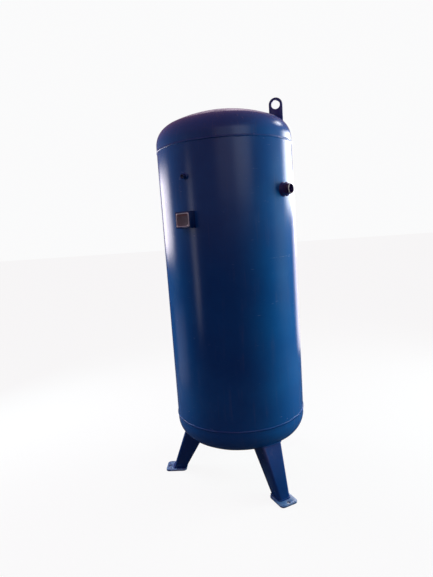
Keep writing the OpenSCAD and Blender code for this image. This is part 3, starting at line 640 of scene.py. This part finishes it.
def eased(name, node, width, material, body="vessel", steps=2):
    """A CAD piece with its sharp edges rounded over, as a maker files or grinds them."""
    shape = bmesh.new()
    shape.from_mesh(frame["nodes"][node].data)
    bmesh.ops.remove_doubles(shape, verts=shape.verts, dist=3e-6)
    bmesh.ops.dissolve_limit(shape, angle_limit=math.radians(0.6), verts=shape.verts, edges=shape.edges)
    sharp = [e for e in shape.edges
             if len(e.link_faces) == 2 and e.calc_face_angle(0) > math.radians(EASED_OVER)]
    bmesh.ops.bevel(shape, geom=sharp, offset=width, segments=steps, profile=0.5, affect="EDGES",
                    clamp_overlap=False)
    mesh = bpy.data.meshes.new(name)
    shape.to_mesh(mesh)
    shape.free()
    drop_slivers(mesh)
    mesh.shade_smooth()
    mesh.set_sharp_from_angle(angle=math.radians(CREASED_OVER))
    place_piece(name, mesh, material, node, body)


# The lug's enamel is a violet copy of the vessel's blue, as painted shade and painted reflection of its
# backlit face.
shaded_lug_enamel = enamel("shade_tinted_lug_enamel", (0.022, 0.068, 0.320, 1), dust=0.3, rubs=0.4)
eased("lifting_eye_plate", "lifting_lug", 1.2 * MM, shaded_lug_enamel)


FILLET_STEP = 0.8 * MM
FILLET_RIPPLE = 0.35 * MM
FILLET_TOE = 0.25 * MM
FILLET_BULGE = 0.18


def fillet_bead(name, toe, top, root, node, material):
    """A rippled fillet all round, from a toe line on one plate to a top line on the other, over its root."""
    lines = [np.asarray(line) for line in (toe, top, root)]
    middle = (lines[0] + lines[1]) / 2
    steps = np.linalg.norm(np.diff(np.vstack((middle, middle[:1])), axis=0), axis=1)
    length = np.concatenate(([0], np.cumsum(steps)))
    count = max(12, int(length[-1] / FILLET_STEP))
    at = np.linspace(0, length[-1], count, endpoint=False)
    toe, top, root = (
        np.column_stack([np.interp(at, length, np.append(line[:, k], line[0, k])) for k in range(3)])
        for line in lines)
    at = at * round(length[-1] / RIPPLE) * RIPPLE / length[-1]
    outward = (toe + top) / 2 - root
    size = np.linalg.norm(outward, axis=1, keepdims=True)
    rows = []
    for across in np.linspace(-1, 1, 9):
        t = (across + 1) / 2
        lift = size[:, 0] * FILLET_BULGE * 4 * t * (1 - t)
        lift = lift + crescents(at, across, FILLET_RIPPLE) * (abs(across) < 0.95)
        lift = lift - (FILLET_TOE if abs(across) == 1 else 0)
        rows.append(toe + (top - toe) * t + outward / size * lift[:, None])
    rows.append(root)
    add_piece(name, np.concatenate(rows), grid_faces(len(rows), count), material, "enamelled_weld",
              node, crease=60)


def dish_height(radius):
    """Height of the top head's outside above its seam at a radius."""
    line = dish()
    return np.interp(radius, [r for r, z in reversed(line)], [z for r, z in reversed(line)])


LUG_LEG = 4 * MM
LUG_THICK = 12 * MM
LUG_WIDE = 63 * MM
LUG_CORNER = 1 * MM
ROOT_IN = 1 * MM
lug_mount = Vector(mount_place("lifting_eye"))
lug_out = turned(azimuth_of(lug_mount.x, lug_mount.y), 1)
lug_side = Vector((-lug_out.y, lug_out.x, 0))
lug_reach = math.hypot(lug_mount.x, lug_mount.y)
toe_line, top_line, root_line = [], [], []
for a in np.linspace(0, TURN, 240, endpoint=False):
    x, y = math.cos(a), math.sin(a)
    edge = min(LUG_WIDE / 2 / max(abs(x), 1e-6), LUG_THICK / 2 / max(abs(y), 1e-6))
    u, v = x * edge, y * edge
    near = lug_out * (lug_reach + u) + lug_side * v
    off = Vector((0, 0, 0))
    if abs(u) > LUG_WIDE / 2 - LUG_CORNER:
        off += lug_out * math.copysign(1, u)
    if abs(v) > LUG_THICK / 2 - LUG_CORNER:
        off += lug_side * math.copysign(1, v)
    off = off.normalized()
    for line, shift, rise in (
            (toe_line, LUG_LEG, 0), (top_line, 0.05 * MM, LUG_LEG), (root_line, -ROOT_IN, -ROOT_IN)):
        p = near + off * shift
        line.append((p.x, p.y, TOP_SEAM + dish_height(math.hypot(p.x, p.y)) + rise))
fillet_bead("lifting_eye_weld", toe_line, top_line, root_line, "lifting_lug_weld", shaded_weld_enamel)

# ---- The outlet ----
# A short socket let into the upper right of the shell, with a hexagon nipple screwed into it. The
# nipple was enamelled in place, painted a dark violet-blue that is painted shade, and its rim was wiped back
# to bare metal, painted near-white as bare metal and as a painted highlight.

PIPE_PITCH = 2.309 * MM
THREAD_DEPTH = 1.479 * MM
TAP_DEPTH = 0.55
PORT_COLUMNS = 144
SOCKET_IN = 2 * MM + WALL
SOCKET_LEG = 4 * MM
CHAMFER_SHARE = 0.492
OUTLET_OUT = 12 * MM
NIPPLE_THREAD = 47.8 * MM


def thread(height, start, end, pitch=PIPE_PITCH, depth=THREAD_DEPTH):
    """Depth of a rounded right-hand thread below its crest, all round one ring."""
    angle = np.arange(PORT_COLUMNS) * TURN / PORT_COLUMNS
    phase = (height / pitch - angle / TURN) % 1.0
    tooth = 0.5 - 0.5 * np.cos(TURN * phase)
    tooth = np.clip(tooth * 1.25 - 0.125, 0, 1)
    fade = min(1.0, (height - start) / pitch, (end - height) / (0.7 * pitch))
    return depth * tooth * max(0.0, fade)


def hexagon_ring(flats, limit):
    """The outline of a hexagon cut back by the cone that chamfers its corners."""
    angle = np.arange(PORT_COLUMNS) * TURN / PORT_COLUMNS
    reach = flats / 2 / np.cos((angle + math.pi / 6) % (math.pi / 3) - math.pi / 6)
    return np.minimum(reach, limit)


def hexagon_rings(flats, low, high):
    """A hexagon's rings from low to high, with both faces chamfered at 30 degrees."""
    depths = [z * MM for z in (0, 0.5, 1.0, 1.6, 2.2, 3.2)]
    cut = [hexagon_ring(flats, CHAMFER_SHARE * flats + z * math.sqrt(3)) for z in depths]
    rows = [(outline, low + z) for outline, z in zip(cut, depths)]
    return rows + [(outline, high - z) for outline, z in reversed(list(zip(cut, depths)))]


def port_node(port):
    """The CAD node of a port's socket."""
    return {"safety": "safety_valve_socket"}.get(port, port + "_socket")


def port_socket(name, port, out, bore, pitch, material, mouth=1.2 * MM, threaded=True):
    """A tapped socket through the shell: turned outside, faced mouth, and its thread cut inside."""
    azimuth, height, across = PORTS[port]
    rows = [(across / 2, -SOCKET_IN), (across / 2, out - 0.9 * MM), (across / 2 - 0.35 * MM, out - 0.3 * MM),
            (across / 2 - 0.9 * MM, out)]
    if threaded:
        start, end = -SOCKET_IN + 0.5 * MM, out - mouth
        rows += [(bore / 2 + mouth, out), (bore / 2 + 0.05 * MM, end)]
        rows += [(bore / 2 + thread(z, start, end, pitch, TAP_DEPTH * pitch), z)
                 for z in np.linspace(end, start, int((end - start) / pitch * 8))]
        rows += [(bore / 2, -SOCKET_IN)]
    else:
        rows += [(bore / 2 + 0.5 * MM, out), (bore / 2, out - 0.5 * MM), (bore / 2, -SOCKET_IN)]
    points = set_out(spun_points(rows, PORT_COLUMNS), azimuth, height)
    add_piece(name, points, grid_faces(len(rows), PORT_COLUMNS), material, "blue_enamel",
              port_node(port), crease=40)


def port_weld(name, port, material=shaded_weld_enamel):
    """The fillet between a socket and the shell, following the saddle where they meet."""
    azimuth, height, across = PORTS[port]
    angle = np.linspace(0, TURN, 180, endpoint=False)

    def saddle(radius, rise):
        x, y = radius * np.cos(angle), radius * np.sin(angle)
        out = np.sqrt(SHELL_R ** 2 - x ** 2) - SHELL_R + rise
        return set_out(np.column_stack((x, y, out)), azimuth, height)

    fillet_bead(name, saddle(across / 2 + SOCKET_LEG, 0.1 * MM), saddle(across / 2, SOCKET_LEG),
                saddle(across / 2 - ROOT_IN, -1.5 * MM), port_node(port) + "_weld", material)


# The outlet socket and its weld are in a dark violet copy of the vessel's blue, which is painted shade.
shaded_outlet_enamel = enamel("shade_darkened_outlet_enamel", (0.024, 0.034, 0.175, 1), dust=0.2, rubs=0.3)
port_socket("outlet_port_socket", "outlet", OUTLET_OUT, NIPPLE_THREAD, PIPE_PITCH, shaded_outlet_enamel,
            threaded=False)
port_weld("outlet_port_weld", "outlet", shaded_outlet_enamel)

NIPPLE_FLATS = 55 * MM
NIPPLE_HEX = (OUTLET_OUT, OUTLET_OUT + 11 * MM)
NIPPLE_END = 41 * MM
NIPPLE_BORE = 40 * MM
NIPPLE_IN = SOCKET_IN - 0.4 * MM
NECK_CUT = 1.5 * MM


def nipple_finish():
    """Enamel darkened as painted shade, worn through on the thread crests, and wiped off the rim, whose
    near-white colour is bare metal and a painted highlight.
    """
    material, tree, shader = new_finish("shade_darkened_nipple_enamel")
    place = add_node(tree, "TexCoord").outputs["Object"]
    along = add_node(tree, "VectorMath", {0: place, 1: turned(PORTS["outlet"][0], 1)},
                     operation="DOT_PRODUCT").outputs["Value"]
    along = maths(tree, "SUBTRACT", along, SHELL_R)
    ragged = maths(tree, "MULTIPLY_ADD", noise(tree, place, 160.0, 4.0), 3 * MM, -1.5 * MM)
    rim = spread(tree, maths(tree, "ADD", along, ragged), NIPPLE_END - 2.6 * MM, NIPPLE_END - 1.6 * MM)
    chips = spread(tree, noise(tree, place, 210.0, 6.0), 0.60, 0.66)
    threaded = spread(tree, along, NIPPLE_HEX[1] + 1 * MM, NIPPLE_HEX[1] + 3 * MM)
    bare_and_highlight = maths(tree, "MAXIMUM", rim, maths(tree, "MULTIPLY", chips, threaded))
    colour = mix_colour(tree, spread(tree, noise(tree, place, 40.0, 4.0), 0.3, 0.7),
                        (0.034, 0.022, 0.115, 1), (0.054, 0.036, 0.170, 1))
    # The near-white rim is bare metal and a painted highlight; the dark violet is painted shade.
    lay_on(tree, shader, mix_colour(tree, bare_and_highlight, colour, (0.78, 0.76, 0.76, 1)),
           maths(tree, "MULTIPLY_ADD", bare_and_highlight, 0.16, 0.20), noise(tree, place, 700.0, 2.0), 0.02 * MM,
           metallic=maths(tree, "MULTIPLY", bare_and_highlight, 0.45))
    return material


rows = [(NIPPLE_THREAD / 2, -NIPPLE_IN), (NIPPLE_THREAD / 2, NIPPLE_HEX[0])]
rows += hexagon_rings(NIPPLE_FLATS, *NIPPLE_HEX)
rows += [(NIPPLE_THREAD / 2 + 0.6 * MM, NIPPLE_HEX[1]),
         (NIPPLE_THREAD / 2 - NECK_CUT, NIPPLE_HEX[1] + 0.6 * MM),
         (NIPPLE_THREAD / 2 - NECK_CUT, NIPPLE_HEX[1] + 2 * MM)]
crest_from, crest_to = NIPPLE_HEX[1] + 1.6 * MM, NIPPLE_END - 1.2 * MM
rows += [(NIPPLE_THREAD / 2 - thread(z, crest_from, crest_to + 1 * MM), z)
         for z in np.linspace(crest_from + 0.5 * MM, crest_to, 70)]
rows += [(NIPPLE_THREAD / 2 - 1.4 * MM, NIPPLE_END - 0.2 * MM), (NIPPLE_THREAD / 2 - 1.9 * MM, NIPPLE_END),
         (NIPPLE_BORE / 2 + 0.7 * MM, NIPPLE_END), (NIPPLE_BORE / 2 + 0.15 * MM, NIPPLE_END - 0.4 * MM),
         (NIPPLE_BORE / 2, NIPPLE_END - 1.2 * MM), (NIPPLE_BORE / 2, -NIPPLE_IN)]
add_piece("outlet_hexagon_nipple", set_out(spun_points(rows, PORT_COLUMNS), *PORTS["outlet"][:2]),
          grid_faces(len(rows), PORT_COLUMNS), nipple_finish(), "dark_nipple", "outlet_nipple", crease=28)

# ---- The other ports ----
# Three more tapped sockets welded through the shell: the inlet low at the left rear, the small gauge
# port above the nameplate, and the safety valve port high at the right rear. All stand open.

INLET_OUT, INLET_BORE = 25 * MM, 45 * MM
GAUGE_OUT, GAUGE_BORE, GAUGE_PITCH, GAUGE_MOUTH = 20 * MM, 11.5 * MM, 1.337 * MM, 0.9 * MM
SAFETY_OUT, SAFETY_BORE, SAFETY_PITCH = 22 * MM, 24 * MM, 1.814 * MM
# The other sockets, the nameplate stand and the drain socket are in a darker copy of the vessel's blue,
# which is painted shade.
shaded_port_enamel = enamel("shade_darkened_port_enamel", (0.004, 0.052, 0.195, 1), dust=0.3, rubs=0.5)
port_socket("inlet_port_socket", "inlet", INLET_OUT, INLET_BORE, PIPE_PITCH, shaded_port_enamel)
port_weld("inlet_port_weld", "inlet")
port_socket("gauge_port_socket", "gauge", GAUGE_OUT, GAUGE_BORE, GAUGE_PITCH, shaded_port_enamel, mouth=GAUGE_MOUTH)
port_weld("gauge_port_weld", "gauge")
port_socket("safety_port_socket", "safety", SAFETY_OUT, SAFETY_BORE, SAFETY_PITCH, shaded_port_enamel)
port_weld("safety_port_weld", "safety")

# ---- The inspection opening ----
# A larger socket low at the back, shut by a zinc-plated hexagon plug with a flange. A black rubber ring
# is squeezed between the flange and the socket's face.

INSPECTION_OUT = 18 * MM
PLUG_THREAD_R = 29.8 * MM
PLUG_ROOT_R = 28.6 * MM
PLUG_FLATS = 46 * MM
PLUG_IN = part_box("inspection_plug")[0].y - SHELL_R
PLUG_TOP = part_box("inspection_plug")[1].y - SHELL_R
FLANGE_R = 38 * MM
FLANGE_LOW = 20 * MM
FLANGE_HIGH = 25 * MM
RECESS_DEPTH = 0.8 * MM


def moulded(name, dark, light, mottle, rough, pores, specular=0.5):
    """A moulded rubber or plastic.

    Mottle is a noise's scale and detail, rough is a scale, a span and the least roughness, and pores is a
    scale and a depth.
    """
    material, tree, shader = new_finish(name, specular=specular)
    place = add_node(tree, "TexCoord").outputs["Object"]
    lay_on(tree, shader, mix_colour(tree, noise(tree, place, *mottle), dark, light),
           maths(tree, "MULTIPLY_ADD", noise(tree, place, rough[0]), rough[1], rough[2]),
           noise(tree, place, pores[0]), pores[1])
    return material


port_socket("inspection_port_socket", "inspection", INSPECTION_OUT, PLUG_THREAD_R * 2, PIPE_PITCH,
            shaded_port_enamel, threaded=False)
port_weld("inspection_port_weld", "inspection")
refinish("inspection_seal", moulded("black_seal_rubber", (0.012, 0.012, 0.013, 1), (0.045, 0.043, 0.042, 1),
                                    (90.0,), (500.0, 0.2, 0.55), (900.0, 0.03 * MM), specular=0.3))
zinc = bare_metal("plated_zinc", (0.60, 0.60, 0.57, 1), rust=0.15, roughness=0.32, dark=0.75)
rows = [(0, PLUG_IN), (PLUG_ROOT_R, PLUG_IN), (PLUG_THREAD_R, PLUG_IN + 1.2 * MM),
        (PLUG_THREAD_R, FLANGE_LOW), (FLANGE_R - 0.5 * MM, FLANGE_LOW), (FLANGE_R, FLANGE_LOW + 0.5 * MM),
        (FLANGE_R, FLANGE_HIGH - 0.8 * MM), (FLANGE_R - 0.3 * MM, FLANGE_HIGH - 0.2 * MM),
        (FLANGE_R - 0.9 * MM, FLANGE_HIGH), (PLUG_FLATS * 0.60, FLANGE_HIGH)]
# The hexagon grows straight out of the flange, so its lower chamfer's rings are left out
LOWER_CHAMFER = 5
rows += hexagon_rings(PLUG_FLATS, FLANGE_HIGH, PLUG_TOP)[LOWER_CHAMFER:]
rows += [(PLUG_FLATS * 0.33, PLUG_TOP), (PLUG_FLATS * 0.30, PLUG_TOP - RECESS_DEPTH),
         (0, PLUG_TOP - RECESS_DEPTH)]
add_piece("inspection_hexagon_plug", set_out(spun_points(rows, PORT_COLUMNS), *PORTS["inspection"][:2]),
          grid_faces(len(rows), PORT_COLUMNS, round_rows=False), zinc, "zinc_plated", "inspection_plug",
          crease=28)

# ---- The nameplate ----
# A bent sheet bracket stands off the shell below the gauge port, with an etched metal plate riveted to
# its face at the corners. The plate has a raised light border, a faint red band and ruled blank fields.

plate_low, plate_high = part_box("nameplate")
plate_middle = (plate_low + plate_high) / 2
plate_azimuth = azimuth_of(plate_middle.x, plate_middle.y)
plate_z = (plate_low.z + plate_high.z) / 2
plate_out = math.hypot(plate_middle.x, plate_middle.y)
PLATE_TALL = plate_high.z - plate_low.z
PLATE_WIDE = 69 * MM
PLATE_THICK = 1 * MM
PLATE_CORNER = 3 * MM
BORDER = 3.2 * MM
TOP_BAND = 11 * MM
FIELD_ROWS = 8
RULE_SHARE = 0.085
DIVIDER_AT, DIVIDER_W = -7 * MM, 0.5 * MM
# The stand is in the darker port enamel, which is painted shade.
eased("nameplate_stand", "nameplate_bracket", 0.4 * MM, shaded_port_enamel)
refinish("nameplate_bracket_weld", shaded_weld_enamel)


def rounded_outline(width, tall, corner, inset, points=6):
    """A rectangle's outline with rounded corners, drawn in by an inset."""
    w, h = width / 2 - inset, tall / 2 - inset
    c = max(corner - inset, 0.3 * MM)
    line = []
    for k, (sx, sy) in enumerate(((1, 1), (-1, 1), (-1, -1), (1, -1))):
        for a in np.linspace(0, math.pi / 2, points):
            b = a + k * math.pi / 2
            line.append((sx * (w - c) + c * math.cos(b), sy * (h - c) + c * math.sin(b)))
    return line


def plate_finish():
    """Tarnished plate, etched with a grid of blank fields under a faint red band, in a lighter border."""
    material, tree, shader = new_finish("etched_nameplate")
    place = add_node(tree, "TexCoord").outputs["Object"]
    a = math.radians(plate_azimuth)
    across = add_node(tree, "VectorMath", {0: place, 1: (math.cos(a), math.sin(a), 0.0)},
                      operation="DOT_PRODUCT").outputs["Value"]
    up = maths(tree, "SUBTRACT", add_node(tree, "SeparateXYZ", {0: place}).outputs["Z"], plate_z)
    half_w, half_h = PLATE_WIDE / 2 - BORDER, PLATE_TALL / 2 - BORDER
    row_pitch = (2 * half_h - TOP_BAND) / FIELD_ROWS
    phase = maths(tree, "FRACT", maths(tree, "DIVIDE", maths(tree, "SUBTRACT", up, -half_h), row_pitch))
    rule = maths(tree, "LESS_THAN", phase, RULE_SHARE)
    below = maths(tree, "LESS_THAN", up, half_h - TOP_BAND + 0.2 * MM)
    inner = maths(tree, "LESS_THAN", maths(tree, "ABSOLUTE", across), half_w - 2 * MM)
    from_divider = maths(tree, "ABSOLUTE", maths(tree, "ADD", across, -DIVIDER_AT))
    rule = maths(tree, "MAXIMUM", rule, maths(tree, "LESS_THAN", from_divider, DIVIDER_W / 2))
    lines = maths(tree, "MULTIPLY", maths(tree, "MULTIPLY", rule, below), inner)
    border = maths(tree, "MAXIMUM", maths(tree, "GREATER_THAN", maths(tree, "ABSOLUTE", across), half_w),
                   maths(tree, "GREATER_THAN", maths(tree, "ABSOLUTE", up), half_h))
    band = maths(tree, "MULTIPLY", maths(tree, "GREATER_THAN", up, half_h - TOP_BAND + 2 * MM),
                 maths(tree, "LESS_THAN", up, half_h - 2.4 * MM))
    band = maths(tree, "MULTIPLY", band, inner)
    cloud = noise(tree, place, 60.0, 6.0)
    base = mix_colour(tree, cloud, (0.100, 0.088, 0.112, 1), (0.20, 0.170, 0.195, 1))
    base = mix_colour(tree, maths(tree, "MULTIPLY", band, 0.5), base, (0.22, 0.08, 0.075, 1))
    base = mix_colour(tree, maths(tree, "MULTIPLY", lines, 0.75), base, (0.055, 0.05, 0.06, 1))
    base = mix_colour(tree, border, base, (0.62, 0.64, 0.68, 1))
    brushed = noise(tree, place, 900.0, 2.0, (1.0, 1.0, 0.08))
    etched = maths(tree, "SUBTRACT", brushed, maths(tree, "MULTIPLY", lines, 1.5))
    lay_on(tree, shader, base, maths(tree, "MULTIPLY_ADD", cloud, 0.25, 0.26), etched, 0.02 * MM,
           metallic=maths(tree, "MULTIPLY_ADD", border, 0.3, 0.25))
    return material


# Rings from the plate's back up its edge to the raised border and down to the field: inset and rise
plate_rings = [(0.0, 0.0), (0.0, 0.75), (0.25 * MM, 1.0), (BORDER - 0.6 * MM, 1.0), (BORDER, 0.72)]
outlines = [rounded_outline(PLATE_WIDE, PLATE_TALL, PLATE_CORNER, inset) for inset, rise in plate_rings]
plate_back = plate_out - SHELL_R - PLATE_THICK / 2
points = [(x, y, plate_back + rise * PLATE_THICK)
          for (inset, rise), outline in zip(plate_rings, outlines) for x, y in outline]
faces = capped_faces(len(plate_rings), len(outlines[0]))
add_piece("etched_nameplate", set_out(points, plate_azimuth, plate_z), faces, plate_finish(),
          "nameplate_metal", "nameplate", crease=25)
refinish("nameplate_rivets", bare_metal("bright_rivet", (0.85, 0.85, 0.84, 1), roughness=0.22, dark=0.85))

# ---- The drain ----
# A small socket welded into the middle of the bottom head takes a brass ball valve. Its chromed ball
# sits between white seats, and a plated lever with a red grip turns it through a sealed stem.

DRAIN_LEG = 4 * MM
# The drain socket is in the darker port enamel, which is painted shade.
refinish("drain_socket", shaded_port_enamel)


def under_dish(radius, drop):
    """A ring round the bottom head's middle, so far under its outside."""
    angle = np.linspace(0, TURN, 120, endpoint=False)
    height = LOW_SEAM - dish_height(radius) - drop
    return np.column_stack((radius * np.cos(angle), radius * np.sin(angle), np.full(len(angle), height)))


fillet_bead("drain_socket_bead", under_dish(DRAIN_R + DRAIN_LEG, 0.0), under_dish(DRAIN_R, DRAIN_LEG),
            under_dish(DRAIN_R - ROOT_IN, -ROOT_IN), "drain_socket_weld", shaded_weld_enamel)
brass = bare_metal("machined_brass", (0.66, 0.44, 0.17, 1), roughness=0.30, dark=0.62)
eased("drain_valve_casting", "drain_valve_body", 0.35 * MM, brass)
eased("drain_valve_outlet_end", "drain_valve_end", 0.35 * MM, brass)
eased("drain_gland_nut", "drain_valve_gland_nut", 0.3 * MM, brass)
white_plastic = moulded("white_seat", (0.78, 0.77, 0.74, 1), (0.90, 0.90, 0.88, 1),
                        (120.0,), (400.0, 0.15, 0.35), (800.0, 0.01 * MM), specular=0.4)
refinish("drain_valve_seats", white_plastic)
refinish("drain_valve_packing", white_plastic)
refinish("drain_valve_ball", bare_metal("chromed_ball", (0.78, 0.78, 0.80, 1), roughness=0.12, dark=0.9))
refinish("drain_valve_stem", bare_metal("turned_stainless", (0.55, 0.55, 0.57, 1), roughness=0.28,
                                        grain=(1.0, 0.1, 1.0)))
eased("drain_valve_lever_strip", "drain_valve_lever", 0.3 * MM, zinc, body="drain_lever")
eased("drain_lever_nut", "drain_valve_lever_nut", 0.35 * MM, zinc, body="drain_lever")
vinyl = moulded("dipped_red_vinyl", (0.36, 0.012, 0.010, 1), (0.55, 0.030, 0.020, 1),
                (70.0, 5.0), (300.0, 0.2, 0.30), (500.0, 0.04 * MM))
eased("drain_lever_grip", "drain_valve_grip", 0.45 * MM, vinyl, body="drain_lever", steps=3)

# ---- The legs ----
# Three legs of 5 mm sheet, each bent into a flared channel that leans outwards. They are cut to the
# bottom head and filleted to it, and enamelled in the vessel's blue, painted a darker navy as painted shade.

# The legs' navy is the vessel's blue darkened as painted shade.
shaded_leg_enamel = enamel("shade_darkened_leg_enamel", (0.004, 0.068, 0.27, 1), dust=0.5, rubs=0.6)
for side in ("right", "left", "rear"):
    eased("bent_leg_" + side, "leg_" + side, 0.6 * MM, shaded_leg_enamel)
    refinish("leg_" + side + "_weld", shaded_weld_enamel)

# ---- The feet ----
# Each leg stands on an 8 mm plate with rounded corners and one anchor hole near its outer edge. They are
# enamelled a lighter blue that is partly dust and partly painted light from above, dusty on top, and scuffed
# to grey along their edges by the floor.


def foot_finish():
    """Blue enamel lightened by dust and by painted light from above, clouded with dust, with chips that are
    thickest near the floor.
    """
    material, tree, shader = new_finish("dust_and_light_foot_enamel")
    place = add_node(tree, "TexCoord").outputs["Object"]
    height = add_node(tree, "SeparateXYZ", {0: place}).outputs["Z"]
    cloud = noise(tree, place, 28.0, 6.0)
    chips = spread(tree, noise(tree, place, 130.0, 7.0), 0.60, 0.64)
    low = spread(tree, height, 7 * MM, 2 * MM)
    chips = maths(tree, "MULTIPLY", chips, maths(tree, "MULTIPLY_ADD", low, 0.85, 0.15))
    # The lighter blues are partly dust and partly painted light from above.
    base = mix_colour(tree, spread(tree, cloud, 0.35, 0.7), (0.075, 0.215, 0.47, 1), (0.21, 0.36, 0.58, 1))
    base = mix_colour(tree, chips, base, (0.20, 0.19, 0.19, 1))
    lifted = maths(tree, "MULTIPLY_ADD", chips, -2.0, noise(tree, place, 330.0, 2.0))
    lay_on(tree, shader, base, maths(tree, "MULTIPLY_ADD", cloud, 0.35, 0.16), lifted, 0.03 * MM)
    return material


dusty_lit_foot_enamel = foot_finish()
for side in ("right", "left", "rear"):
    eased("anchor_foot_" + side, "foot_plate_" + side, 0.9 * MM, dusty_lit_foot_enamel, steps=3)
    refinish("foot_" + side + "_weld", shaded_leg_enamel)
